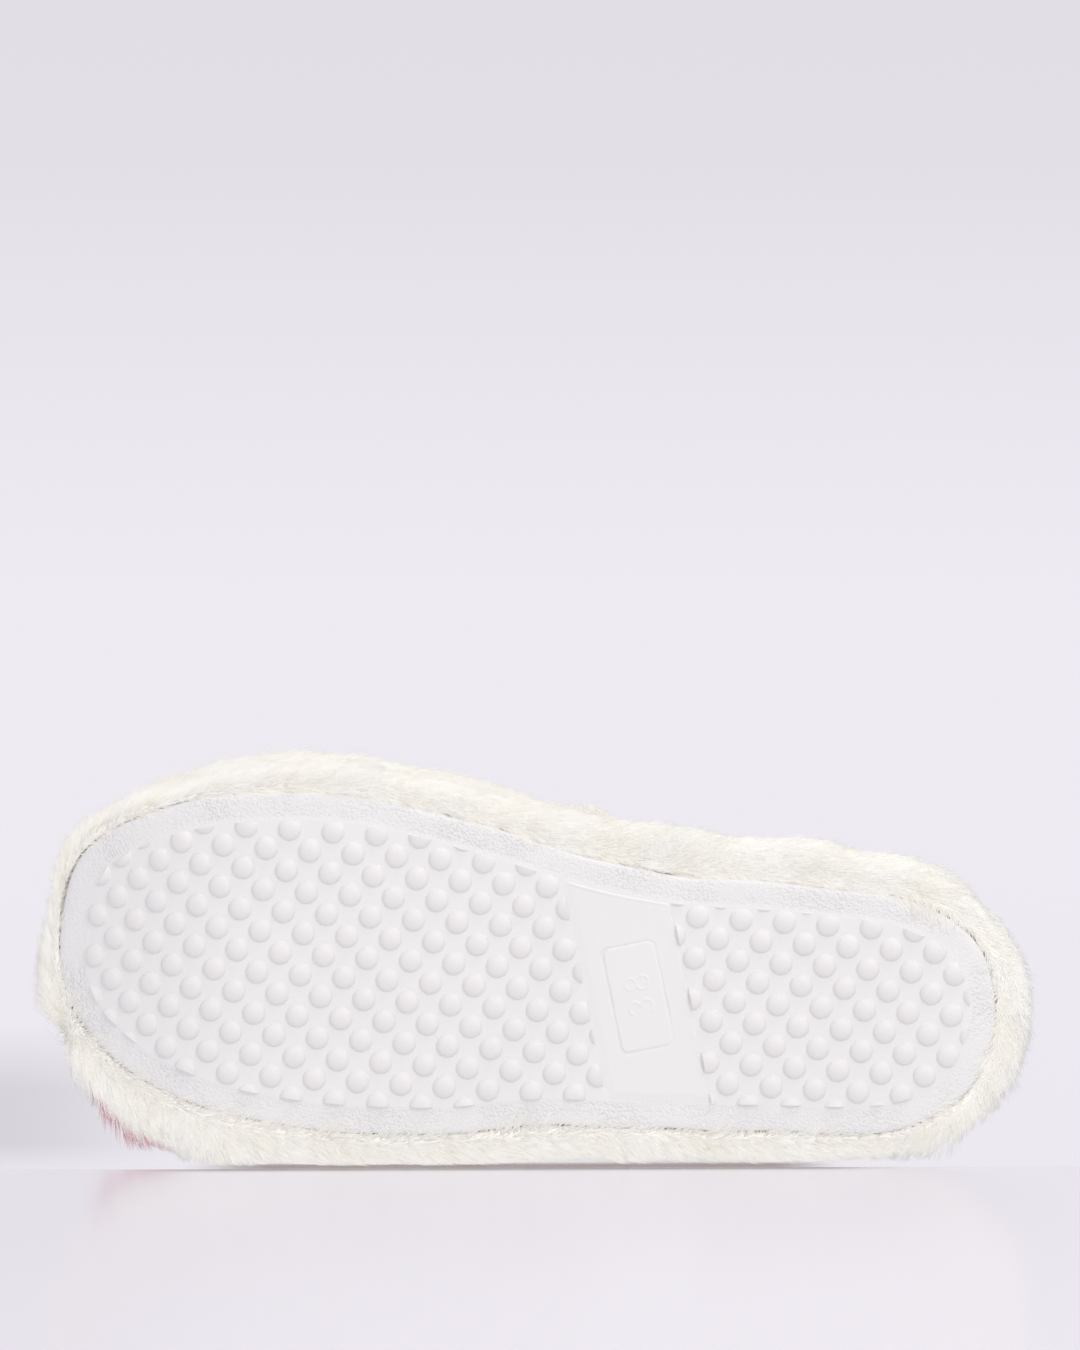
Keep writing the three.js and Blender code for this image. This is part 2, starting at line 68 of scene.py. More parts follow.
SOLE_LENGTH = 250
SOLE_WIDTH = 89
TOE_Y = -SOLE_LENGTH / 2
TOE_SPRING = 19
TOE_BEND_FROM_TOE = 60
HEEL_SPRING = 2
HEEL_BEND_FROM_HEEL = 17

# Share of the length from the toe and share of half the width, from the toe tip round the inner
# side to the heel and back by the outer side.
SOLE_OUTLINE = np.array([
    (0, 0.07), (0.016, 0.45), (0.066, 0.71), (0.152, 0.91), (0.27, 1), (0.36, 0.975),
    (0.477, 0.86), (0.577, 0.75), (0.657, 0.717), (0.78, 0.735), (0.894, 0.7), (0.946, 0.6),
    (0.98, 0.42), (1, 0.05), (0.98, -0.38), (0.946, -0.57), (0.894, -0.69), (0.78, -0.755),
    (0.64, -0.81), (0.525, -0.86), (0.417, -0.97), (0.26, -1), (0.152, -0.915),
    (0.066, -0.708), (0.016, -0.43),
])

# Share of the way round from the toe tip by the inner side, and how far the pile reaches there.
BAND_REACH = np.array([
    (0, 3.5), (0.05, 5), (0.12, 8), (0.22, 8.5), (0.3, 12), (0.36, 11.5), (0.44, 9),
    (0.5, 10.2), (0.57, 8), (0.68, 9), (0.78, 11), (0.88, 13), (0.93, 9.5), (0.97, 5), (1, 3.5),
])
SEAM_SHARE = 0.311

DOT_HEIGHT = 1.8
BORDER_WIDTH = 7.4
SOLE_FACE = DOT_HEIGHT
VAMP_BASE = 27.0


def smooth(t):
    t = np.clip(t, 0, 1)
    return t * t * (3 - 2 * t)


def unit(v):
    return v / np.maximum(np.linalg.norm(v, axis=-1, keepdims=True), 1e-9)


def closed_line():
    """A dense closed centripetal spline through the outline, with the turn at each point."""
    knots = np.stack([
        SOLE_OUTLINE[:, 1] * SOLE_WIDTH / 2,
        TOE_Y + SOLE_OUTLINE[:, 0] * SOLE_LENGTH,
    ], 1)
    p0, p1, p2, p3 = (np.roll(knots, shift, 0)[:, None] for shift in (1, 0, -1, -2))
    d0, d1, d2 = (
        np.linalg.norm(b - a, axis=2, keepdims=True) ** 0.5
        for a, b in ((p0, p1), (p1, p2), (p2, p3))
    )
    m1 = ((p1 - p0) / d0 - (p2 - p0) / (d0 + d1) + (p2 - p1) / d1) * d1
    m2 = ((p2 - p1) / d1 - (p3 - p1) / (d1 + d2) + (p3 - p2) / d2) * d1
    t = np.linspace(0, 1, 60, endpoint=False)[None, :, None]
    line = (
        (2 * t**3 - 3 * t**2 + 1) * p1 + (t**3 - 2 * t**2 + t) * m1
        + (3 * t**2 - 2 * t**3) * p2 + (t**3 - t**2) * m2
    ).reshape(-1, 2)
    steps = np.linalg.norm(np.roll(line, -1, 0) - line, axis=1)
    turn = np.concatenate([[0], np.cumsum(steps)[:-1]]) / steps.sum()
    return line, turn


LINE, TURN = closed_line()
RUN = unit(np.roll(LINE, -1, 0) - np.roll(LINE, 1, 0))
OUTWARD = np.stack([RUN[:, 1], -RUN[:, 0]], 1)


def shift_to_model():
    """From the sole's frame to the model's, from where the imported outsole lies."""
    low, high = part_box("outsole")
    middle = (LINE.min(0) + LINE.max(0)) / 2
    return np.array([
        (low.x + high.x) / 2 / MM - middle[0],
        (low.y + high.y) / 2 / MM - middle[1],
        0,
    ])


SHIFT = shift_to_model()


def around(values, share):
    """A value kept along the outline, at shares of the way round."""
    return np.interp(np.mod(share, 1), TURN, values, period=1)


def edge(share, outward=0.0):
    """Points x, y at shares of the way round, moved out square to the sole's edge."""
    share = np.asarray(share, float)
    point = np.stack([around(LINE[:, 0], share), around(LINE[:, 1], share)], -1)
    way = unit(np.stack([around(OUTWARD[:, 0], share), around(OUTWARD[:, 1], share)], -1))
    return point + way * np.asarray(outward, float)[..., None]


def lift(y):
    """How far the sole is lifted at its toe and its heel."""
    toe_bend = TOE_Y + TOE_BEND_FROM_TOE
    heel_bend = TOE_Y + SOLE_LENGTH - HEEL_BEND_FROM_HEEL
    toe = TOE_SPRING * (np.maximum(toe_bend - y, 0) / TOE_BEND_FROM_TOE) ** 2.1
    heel = HEEL_SPRING * (np.maximum(y - heel_bend, 0) / HEEL_BEND_FROM_HEEL) ** 2
    return toe + heel


def reach_at(share):
    """The pile's reach past the sole, eased from one row of the table to the next."""
    turn = np.mod(share, 1)
    i = np.clip(np.searchsorted(BAND_REACH[:, 0], turn, "right") - 1, 0, len(BAND_REACH) - 2)
    low, high = BAND_REACH[i], BAND_REACH[i + 1]
    part = smooth((turn - low[..., 0]) / (high[..., 0] - low[..., 0]))
    return low[..., 1] + (high[..., 1] - low[..., 1]) * part


def crossing(line, y):
    """Where lines across the slipper at y cross a closed line: outer side, inner side."""
    a, b = line, np.roll(line, -1, 0)
    y = np.asarray(y, float).ravel()[:, None]
    rise = b[:, 1] - a[:, 1]
    with np.errstate(divide="ignore", invalid="ignore"):
        t = (y - a[:, 1]) / rise
    hit = (t >= 0) & (t <= 1) & np.isfinite(t)
    x = np.where(hit, a[:, 0] + (b[:, 0] - a[:, 0]) * np.where(hit, t, 0), np.nan)
    return np.nanmin(x, 1), np.nanmax(x, 1)


def ripple(points, size, seed):
    """Smooth seeded waviness from -1 to 1, with swells about size across."""
    rng = np.random.default_rng(seed)
    points = np.asarray(points, float)
    total = np.zeros(points.shape[:-1])
    for _ in range(7):
        way = rng.normal(size=points.shape[-1])
        way /= np.linalg.norm(way)
        rate = 2 * math.pi / (size * rng.uniform(0.7, 1.6))
        total += np.sin(points @ way * rate + rng.uniform(0, 2 * math.pi))
    return np.clip(total / 3.2, -1, 1)


# ---------------------------------------------------------------- meshes

def keep_value(mesh, key, value):
    """Keeps a value at each point of a mesh, for its material to read."""
    layer = mesh.attributes.new(key, "FLOAT", "POINT")
    layer.data.foreach_set("value", np.asarray(value, np.float32))


def sole_places(obj):
    """A piece's points in millimetres in the sole's frame."""
    return np.array([v.co for v in obj.data.vertices]) / MM - SHIFT


def add_to_scene(name, data):
    obj = bpy.data.objects.new(name, data)
    bpy.context.scene.collection.objects.link(obj)
    return obj


def make_object(name, points, quads=(), tris=(), values=None, uv=None):
    """A smooth mesh object from millimetres in the sole's frame."""
    quads = np.asarray(quads, np.int32).reshape(-1, 4)
    tris = np.asarray(tris, np.int32).reshape(-1, 3)
    corners = np.concatenate([quads.ravel(), tris.ravel()])
    sizes = np.concatenate([np.full(len(quads), 4), np.full(len(tris), 3)])
    mesh = bpy.data.meshes.new(name)
    mesh.vertices.add(len(points))
    mesh.vertices.foreach_set("co", ((np.asarray(points) + SHIFT) * MM).astype(np.float32).ravel())
    mesh.loops.add(len(corners))
    mesh.loops.foreach_set("vertex_index", corners.astype(np.int32))
    mesh.polygons.add(len(sizes))
    starts = np.concatenate([[0], np.cumsum(sizes)[:-1]]).astype(np.int32)
    mesh.polygons.foreach_set("loop_start", starts)
    mesh.polygons.foreach_set("use_smooth", np.ones(len(sizes), bool))
    if uv is not None:
        layer = mesh.uv_layers.new(name="OFBake")
        layer.data.foreach_set("uv", uv[corners].astype(np.float32).ravel())
    for key, value in (values or {}).items():
        keep_value(mesh, key, value)
    mesh.update(calc_edges=True)
    if mesh.validate():
        raise RuntimeError(f"{name}: the mesh had faces that don't hold")
    return add_to_scene(name, mesh)


def face_outwards(obj, weld=0.0):
    """Turns a closed mesh's faces out, after welding points that lie together."""
    work = bmesh.new()
    work.from_mesh(obj.data)
    if weld:
        bmesh.ops.remove_doubles(work, verts=work.verts, dist=weld * MM)
    bmesh.ops.recalc_face_normals(work, faces=work.faces)
    work.to_mesh(obj.data)
    work.free()
    return obj


def piece(obj, slot, material, *nodes):
    """Puts a finished piece on the slipper's body, with its finish."""
    obj.data.materials.clear()
    obj.data.materials.append(material)
    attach(obj, BODY)
    if nodes:
        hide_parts(*nodes)


def grid_quads(rows, columns, wrap_rows=False, wrap_columns=False):
    """Faces between the rows and columns of a grid of points."""
    i = np.arange(rows if wrap_rows else rows - 1)[:, None]
    j = np.arange(columns if wrap_columns else columns - 1)[None, :]
    k, m = (i + 1) % rows, (j + 1) % columns
    return np.stack([
        i * columns + j, k * columns + j, k * columns + m, i * columns + m,
    ], -1).reshape(-1, 4)


def zipper(points, start, count):
    """Triangles that close a long narrow ring, from its toe end to its heel end."""
    ring = start + np.arange(count)
    y = points[ring, 1]
    first, last = int(np.argmin(y)), int(np.argmax(y))
    a = [ring[(first + k) % count] for k in range((last - first) % count + 1)]
    b = [ring[(first - k) % count] for k in range((first - last) % count + 1)]
    found = []
    i = j = 0
    while i < len(a) - 1 or j < len(b) - 1:
        go_a = j == len(b) - 1 or (i < len(a) - 1 and points[a[i + 1], 1] <= points[b[j + 1], 1])
        if go_a:
            found.append((a[i], a[i + 1], b[j]))
            i += 1
        else:
            found.append((a[i], b[j + 1], b[j]))
            j += 1
    return [t for t in found if len(set(t)) == 3]


RING_STEPS = 360
SPINE_END = 30
INWARD_SHARES = np.array([0.07, 0.16, 0.28, 0.42, 0.57, 0.72, 0.85, 0.97])


def inward_ring(share, outward, part):
    """A ring inside the outline, shrunk by a share of the way to the sole's middle line."""
    ring = edge(share, outward)
    low, high = ring[:, 1].min(), ring[:, 1].max()
    half = (high - low) / 2
    centre = (high + low) / 2
    y = centre + (ring[:, 1] - centre) * (half - SPINE_END) / half
    outer, inner = crossing(ring, np.clip(y, low + 0.01, high - 0.01))
    spine = np.stack([(outer + inner) / 2, y], 1)
    return ring + (spine - ring) * part


def slab(name, profile, below=None, above=None, parts=INWARD_SHARES, wobble=None):
    """A closed plate that follows the sole. The profile runs round its edge from the lower
    face to the upper one, and below and above give the faces' extra height further in."""
    share = np.arange(RING_STEPS) / RING_STEPS
    flat = lambda ring, part: 0.0
    rings = []
    for part in parts[::-1]:
        ring = inward_ring(share, profile[0][0], part)
        rings.append((ring, profile[0][1] + (below or flat)(ring, part)))
    for outward, height in profile:
        moved = outward + (wobble(share) if wobble else 0.0)
        rings.append((edge(share, np.broadcast_to(moved, share.shape)), height))
    for part in parts:
        ring = inward_ring(share, profile[-1][0], part)
        rings.append((ring, profile[-1][1] + (above or flat)(ring, part)))
    points = np.concatenate([
        np.column_stack([ring, np.broadcast_to(height, len(ring)) + lift(ring[:, 1])])
        for ring, height in rings
    ])
    quads = grid_quads(len(rings), RING_STEPS, wrap_columns=True)
    ends = zipper(points, 0, RING_STEPS) + zipper(points, (len(rings) - 1) * RING_STEPS, RING_STEPS)
    return face_outwards(make_object(name, points, quads, ends))


# ---------------------------------------------------------------- materials

def new_material(name, sockets=None):
    """A material with values set on its shader's own sockets."""
    material = bpy.data.materials.new(name)
    material.use_nodes = True
    tree = material.node_tree
    shader = tree.nodes["Principled BSDF"]
    for key, value in (sockets or {}).items():
        shader.inputs[key].default_value = value
    return material, tree, shader


def pile_sockets(sheen, sheen_roughness, specular=0.15):
    return {
        "Specular IOR Level": specular, "Sheen Weight": sheen, "Sheen Roughness": sheen_roughness,
    }


def node(tree, kind, **values):
    """A node with its settings and its sockets' values."""
    made = tree.nodes.new(kind)
    for key, value in values.items():
        if hasattr(made, key):
            setattr(made, key, value)
        else:
            made.inputs[key].default_value = value
    return made


def plug(tree, value, socket):
    """Links a node's output to a socket, or sets a plain value on it."""
    if isinstance(value, bpy.types.NodeSocket):
        tree.links.new(value, socket)
    elif isinstance(value, (int, float)):
        socket.default_value = value
    else:
        socket.default_value = (*value, 1)


def attribute(tree, name):
    return node(tree, "ShaderNodeAttribute", attribute_name=name).outputs["Fac"]


def texture(tree, kind, output, **values):
    """A texture that is fixed to the object's own space."""
    found = node(tree, kind, **values)
    where = tree.nodes.new("ShaderNodeTexCoord")
    tree.links.new(where.outputs["Object"], found.inputs["Vector"])
    return found.outputs[output]


def noise(tree, scale, detail=3.0, roughness=0.55):
    return texture(
        tree, "ShaderNodeTexNoise", "Fac", Scale=scale, Detail=detail, Roughness=roughness)


def ramp(tree, source, *stops):
    """Colours or greys along a value."""
    found = tree.nodes.new("ShaderNodeValToRGB")
    elements = found.color_ramp.elements
    while len(elements) < len(stops):
        elements.new(0.5)
    for element, (at, colour) in zip(elements, stops):
        element.position = at
        element.color = (*((colour,) * 3 if isinstance(colour, float) else colour), 1)
    tree.links.new(source, found.inputs["Fac"])
    return found.outputs["Color"]


def mottled(tree, scale, detail, low, high, span=(0.3, 0.7)):
    """Noise that drifts between two colours or greys."""
    return ramp(tree, noise(tree, scale, detail), (span[0], low), (span[1], high))


def mix(tree, share, a, b, blend="MIX"):
    found = node(tree, "ShaderNodeMix", data_type="RGBA", blend_type=blend)
    for key, value in (("Factor", share), (6, a), (7, b)):
        plug(tree, value, found.inputs[key])
    return found.outputs[2]


def maths(tree, operation, a, b):
    found = node(tree, "ShaderNodeMath", operation=operation)
    for socket, value in zip(found.inputs, (a, b)):
        plug(tree, value, socket)
    return found.outputs[0]


def eased(tree, value, start, stop, top=1.0):
    """A smooth step from 0 at start to top at stop, whichever is the higher."""
    found = node(
        tree, "ShaderNodeMapRange", interpolation_type="SMOOTHSTEP",
        **{"From Min": start, "From Max": stop, "To Max": top})
    tree.links.new(value, found.inputs["Value"])
    return found.outputs["Result"]


def bump(tree, shader, height, distance):
    found = node(tree, "ShaderNodeBump", Distance=distance * MM, Strength=1.0)
    tree.links.new(height, found.inputs["Height"])
    tree.links.new(found.outputs["Normal"], shader.inputs["Normal"])


def finish_look(tree, shader, colour, roughness=None):
    """Links a material's colour, and its roughness where that varies."""
    tree.links.new(colour, shader.inputs["Base Color"])
    if roughness:
        tree.links.new(roughness, shader.inputs["Roughness"])


def shaded(colour, share):
    return tuple(c * share for c in colour)


def rubber(colour):
    """Matt white foamed rubber: a fine pebble on the border, faint brown specks and mould marks,
    and darker dome tops.
    """
    material, tree, shader = new_material("white foamed rubber", {"Specular IOR Level": 0.35})
    tone = mottled(tree, 26, 4, shaded(colour, 0.975), colour)
    specks = mottled(tree, 900, 1, 0.0, 1.0, (0.74, 0.8))
    marks = attribute(tree, "mould_mark")
    darker_top = attribute(tree, "darker_top")
    for layer, strength, layer_colour in (
        (specks, 0.10, (0.55, 0.47, 0.4)),
        (marks, 0.45, (0.62, 0.52, 0.47)),
        # The dome tops are made a little darker than the field between the dots.
        (darker_top, 0.5, (0.765, 0.753, 0.735)),
    ):
        tone = mix(tree, maths(tree, "MULTIPLY", layer, strength), tone, layer_colour)
    finish_look(tree, shader, tone, mottled(tree, 60, 3, 0.46, 0.62))
    pebble = texture(
        tree, "ShaderNodeTexVoronoi", "Distance", feature="SMOOTH_F1", Scale=1400, Smoothness=0.6)
    masked = maths(tree, "MULTIPLY", pebble, attribute(tree, "border"))
    masked = maths(tree, "MULTIPLY", masked, mottled(tree, 70, 3, 0.3, 1.0, (0.36, 0.64)))
    grain = maths(tree, "MULTIPLY", noise(tree, 1600, 2), 0.05)
    bump(tree, shader, maths(tree, "ADD", masked, grain), -0.46)
    return material


def fur_material(name, settings):
    """Pile whose colour runs from a darker root to a lighter tip, painted shade and light along
    each strand, with pale streaks and dyed patches.
    """
    material, tree, shader = new_material(name, {
        "Roughness": 0.9, "Sheen Tint": (1.0, 0.97, 0.9, 1), **pile_sockets(0.25, 0.45),
    })
    along = attribute(tree, "along")
    cream, pink = tuple(settings.cream), tuple(settings.pink)
    # Painted shade and light: darker at the root and lighter at the tip, because the strands cast
    # no shadow on each other.
    tip = tuple(min(1, c * 1.02) for c in cream)
    body = ramp(tree, along, (0.0, tuple(settings.root)), (0.45, cream), (1.0, tip))
    streak = ramp(
        tree, attribute(tree, "tone"),
        (0.0, (0.90, 0.875, 0.77)), (0.4, (0.98, 0.972, 0.925)), (1.0, (1, 1, 1)))
    body = mix(tree, 1.0, body, streak, "MULTIPLY")
    # The dyed pile is painted darker at its roots too: painted shade.
    dye = mix(tree, along, shaded(pink, 0.72), pink)
    dye = mix(tree, 0.35, dye, streak, "MULTIPLY")
    finish_look(tree, shader, mix(tree, attribute(tree, "pink"), body, dye))
    return material


def cloth_material(name, settings, weave, depth, pinks=None):
    """A knitted backing under the pile, with a fine nap and patches of colour."""
    material, tree, shader = new_material(name, pile_sockets(0.3, 0.5))
    light, dark = settings.cream, settings.root
    tone = mottled(tree, weave, 3, dark, light)
    tone = mix(tree, 0.5, tone, mottled(tree, weave / 12, 3, dark, light, (0.3, 0.65)))
    if pinks:
        tone = mix(tree, attribute(tree, "pink"), tone, pinks)
    finish_look(tree, shader, tone, mottled(tree, 200, 2, 0.82, 0.95))
    bump(tree, shader, noise(tree, weave, 4), depth)
    return material


def foam_material():
    """Closed-cell foam with small open cells on its skin."""
    material, tree, shader = new_material("white foam")
    cells = texture(tree, "ShaderNodeTexVoronoi", "Distance", Scale=900)
    # Painted shade: the cells are darkest where the bump is lowest, in their hollows.
    tone = ramp(tree, cells, (0.0, (0.70, 0.68, 0.62)), (0.35, (0.90, 0.88, 0.83)))
    finish_look(tree, shader, tone, mottled(tree, 300, 2, 0.75, 0.9))
    bump(tree, shader, cells, 0.2)
    return material


def board_material():
    """Grey-brown fibre board with flecks."""
    material, tree, shader = new_material("fibre board")
    fibre = noise(tree, 700, 5, 0.7)
    flecks = ramp(tree, fibre, (0.35, (0.25, 0.20, 0.14)), (0.62, (0.50, 0.42, 0.31)))
    broad = mottled(tree, 40, 3, (0.40, 0.33, 0.24), (0.52, 0.45, 0.34))
    finish_look(tree, shader, mix(tree, 0.5, flecks, broad), mottled(tree, 90, 2, 0.7, 0.88))
    bump(tree, shader, fibre, 0.12)
    return material


def thread_material():
    """Spun thread: slanting twist lines and a little fuzz."""
    material, tree, shader = new_material("cream thread", pile_sockets(0.25, 0.4, 0.5))
    twist = texture(
        tree, "ShaderNodeTexWave", "Fac", bands_direction="DIAGONAL", Scale=420, Distortion=1.5)
    # Painted shade: the twist lines are dark where the bump is low, in the grooves.
    tone = ramp(tree, twist, (0.1, (0.55, 0.48, 0.36)), (0.7, (0.85, 0.79, 0.66)))
    finish_look(tree, shader, tone, mottled(tree, 500, 2, 0.6, 0.8))
    bump(tree, shader, twist, 0.12)
    return material


# ---------------------------------------------------------------- pile

# Laid on its side, the slipper first touches the floor at TOUCH, counted from the view's middle.
PLANE_LEAN = 0.1016
VIEW_Y = 3.0
TOUCH_X, TOUCH_Y = -57.4, -80.5
PILE_CLEAR = 0.35
FLOOR_CLEAR = 0.2
GROUND_GAP = 0.9


def pressed(points, share=0.12):
    """The outer side lies against a flat floor when the slipper is laid on its side."""
    outer = TOUCH_X + PLANE_LEAN * (points[..., 1] - VIEW_Y - TOUCH_Y) + PILE_CLEAR
    moved = points.copy()
    for axis, limit in ((0, outer), (2, GROUND_GAP)):
        value = points[..., axis]
        moved[..., axis] = np.where(value < limit, limit + (value - limit) * share, value)
    return moved


def scatter(grid, count, rng, weight=None):
    """Random places on a grid surface, even by area: points, normals, both runs and u, v."""
    a, b, c, d = grid[:-1, :-1], grid[1:, :-1], grid[1:, 1:], grid[:-1, 1:]
    area = np.linalg.norm(np.cross(c - a, d - b), axis=-1) / 2
    if weight is not None:
        area = area * weight
    chance = area.ravel() / area.sum()
    cell = rng.choice(len(chance), count, p=chance)
    i, j = np.unravel_index(cell, area.shape)
    s, t = rng.random((2, count, 1))
    du = np.gradient(grid, axis=0)
    dv = np.gradient(grid, axis=1)
    facing = unit(np.cross(du, dv))

    def at(field):
        low = field[i, j] * (1 - s) + field[i + 1, j] * s
        high = field[i, j + 1] * (1 - s) + field[i + 1, j + 1] * s
        return low * (1 - t) + high * t

    rows, columns = area.shape
    place = np.column_stack([(i + s[:, 0]) / rows, (j + t[:, 0]) / columns])
    return at(grid), unit(at(facing)), unit(at(du)), unit(at(dv)), place


def strand_paths(roots, facing, comb, length, stand, lean, clump, rng, waves, group):
    """Centre lines of curved strands that gather towards shared tips."""
    count = len(roots)
    first = unit(facing * stand[:, None] + comb)
    last = unit(facing * lean[:, None] + comb)
    levels = np.array(waves)[None, :, None]
    line = roots[:, None] + length[:, None, None] * (
        first[:, None] * levels + (last - first)[:, None] * levels**2 / 2
    )
    guides = rng.choice(count, max(2, count // group), replace=False)
    tree = KDTree(len(guides))
    for k, guide in enumerate(guides):
        tree.insert(roots[guide], k)
    tree.balance()
    own = guides[[tree.find(root)[1] for root in roots]]
    pull = clump[:, None, None] * levels**1.4
    spread = (roots - roots[own])[:, None] * 0.35
    scale = (length / length[own])[:, None, None]
    shared = roots[own][:, None] + (line[own] - roots[own][:, None]) * scale + spread
    line = line + (shared - line) * pull
    wander = rng.normal(size=(count, 1, 3)) * (length * 0.035)[:, None, None]
    return line + wander * levels**2, own


def make_strands(name, line, facing, width, place, values, patch, squeeze=False):
    """Closed tapering strands along centre lines. The wide side lies on the surface."""
    count, rings = line.shape[:2]
    rings -= 1
    forward = unit(np.gradient(line, axis=1))
    side = unit(np.cross(forward, facing[:, None]))
    top = unit(np.cross(side, forward))
    taper = np.linspace(1, 0.42, rings)[None, :, None]
    half = (width[:, None, None] / 2) * taper
    body = line[:, :rings]
    corners = np.stack([
        body - side[:, :rings] * half - top[:, :rings] * half * 0.25,
        body + side[:, :rings] * half - top[:, :rings] * half * 0.25,
        body + top[:, :rings] * half * 0.6,
    ], 2)
    points = np.concatenate([corners.reshape(count, -1, 3), line[:, rings:]], 1)
    size = rings * 3 + 1
    quads = [
        (3 * r + k, 3 * r + 3 + k, 3 * r + 3 + (k + 1) % 3, 3 * r + (k + 1) % 3)
        for r in range(rings - 1) for k in range(3)
    ]
    end = 3 * (rings - 1)
    tris = [(end + k, size - 1, end + (k + 1) % 3) for k in range(3)] + [(0, 1, 2)]
    start = (np.arange(count) * size)[:, None, None]
    all_quads = (start + np.array(quads)[None]).reshape(-1, 4) if quads else ()
    all_tris = (start + np.array(tris)[None]).reshape(-1, 3)
    levels = np.append(np.repeat(np.linspace(0, 1, rings + 1)[:-1], 3), 1.0)
    drift = np.tile([-0.5, 0.5, 0.0], rings)
    uv = np.empty((count, size, 2))
    uv[:, :, 0] = place[:, :1] * 0.98 + 0.01 + np.append(drift, 0.0)[None] * patch
    uv[:, :, 1] = place[:, 1:] * 0.98 + 0.005 + levels[None] * patch
    data = {"along": np.broadcast_to(levels, (count, size)).ravel()}
    for key, value in values.items():
        data[key] = np.repeat(value, size)
    points = points.reshape(-1, 3)
    if squeeze:
        points = pressed(points)
    made = make_object(name, points, all_quads, all_tris, data, uv.reshape(-1, 2))
    made.visible_shadow = False
    made.visible_diffuse = False
    return made


def tones(points, own, rng, size):
    """A soft value for each strand: broad drifts, a step for each tuft and a little noise."""
    tuft = rng.random(len(points))[own]
    value = 0.66 + 0.26 * ripple(points, size, 51) + 0.22 * (tuft - 0.5)
    return np.clip(value + rng.normal(size=len(points)) * 0.05, 0, 1)


# How each kind of pile grows: the strand's levels, strands to a tuft, how deep it is rooted,
# its colour drifts, its share of the bake and the spread of its widths.
LONG_PILE = {
    "levels": (0, 0.36, 0.7, 1), "group": 16, "sunk": 0.2, "drift": 13, "patch": 0.004,
    "widths": (0.7, 1.15),
}
TOPLINE_NAP = {
    "levels": (0, 0.55, 1), "group": 9, "sunk": 0.15, "drift": 7, "patch": 0.006,
    "widths": (0.3, 0.5),
}
FOOTBED_NAP = {
    "levels": (0, 0.55, 1), "group": 12, "sunk": 0.15, "drift": 9, "patch": 0.004,
    "widths": (0.35, 0.6),
}


def grow(name, kind, rng, places, comb, length, posture, scale=1.0, thin=1.0, pink=0.0):
    """One object of strands. Posture holds how far they stand, lean out and gather in tufts."""
    roots, facing, _, _, place = places
    count = len(roots)
    stand, lean, clump = (np.broadcast_to(value, count) for value in posture)
    line, own = strand_paths(
        roots - facing * kind["sunk"], facing, comb, length, stand, lean, clump, rng,
        kind["levels"], kind["group"])
    width = scale * rng.uniform(*kind["widths"], count) * thin
    values = {
        "tone": tones(roots, own, rng, kind["drift"]),
        "pink": np.broadcast_to(pink, count),
    }
    return make_strands(
        name, line, facing, width, place, values, kind["patch"], squeeze=kind is LONG_PILE)


def lay(vector, facing):
    """The part of a vector that runs along the surface."""
    return vector - (vector * facing).sum(-1, keepdims=True) * facing


def turned(comb, facing, angle):
    """Comb directions turned about the surface's own facing."""
    across = np.cross(facing, comb)
    return unit(comb * np.cos(angle)[:, None] + across * np.sin(angle)[:, None])


# ---------------------------------------------------------------- surfaces

RIM_PARTS = 6
RIM_STEPS = 420
RIM_SIDES = 26
PILE_DEPTH = 3.2
EDGE_STEPS = 720

VAMP_PARTS = 4
VAMP_MIDDLE_LENGTH = 112
VAMP_SIDE_LENGTH = 138
VAMP_TOE_RUN = 34
RUFF_PUSH = 10.0
RUFF_WAY = np.array([-0.93, -0.3, 0.0])


def rim_outer(share):
    """The band's backing from beside the sole's edge, out round the side and up to the seam."""
    outer = smooth((share - 0.55) / 0.08) * smooth((0.93 - share) / 0.06)
    from_tip = np.minimum(share, 1 - share)
    tip = 2.0 * np.exp(-(from_tip / 0.035) ** 2) - 1.4 * np.exp(-((share - 0.09) / 0.03) ** 2)
    tip += 2.2 * np.exp(-((share - 0.91) / 0.03) ** 2)
    tip += 1.1 * np.exp(-((share - 0.957) / 0.016) ** 2)
    reach = reach_at(share) - PILE_DEPTH + 1.9 * outer + tip
    reach = np.maximum(reach, 1.6)[:, None]
    shape = np.array([
        (0.3, 0.0, 4.9), (0.2, 0.0, 2.7), (0.4, 0.14, 1.9), (0.5, 0.5, 2.4), (0.25, 0.86, 4.7),
        (0, 1.0, 9.5), (0, 1.0, 14.0), (0, 0.96, 18.5), (0, 0.78, 22.4), (0.2, 0.42, 24.5),
        (0.3, 0.1, 25.0), (0.1, 0.0, 24.3),
    ])
    outward = shape[None, :, 0] + shape[None, :, 1] * reach
    height = np.broadcast_to(shape[None, :, 2], outward.shape)
    at = np.linspace(0, len(shape) - 1, RIM_SIDES)
    i = np.clip(at.astype(int), 0, len(shape) - 2)
    t = smooth(at - i) * 0.35 + (at - i) * 0.65
    outward = outward[:, i] * (1 - t) + outward[:, i + 1] * t
    height = height[:, i] * (1 - t) + height[:, i + 1] * t
    for _ in range(2):
        outward[:, 1:-1] = (outward[:, :-2] + 2 * outward[:, 1:-1] + outward[:, 2:]) / 4
        height = height.copy()
        height[:, 1:-1] = (height[:, :-2] + 2 * height[:, 1:-1] + height[:, 2:]) / 4
    return outward, height


def ring_points(share, outward, height):
    """Places round the sole at distances outward and heights above its ground line."""
    flat = edge(share[:, None] + np.zeros_like(outward), outward)
    return np.dstack([flat, height + lift(flat[..., 1])])


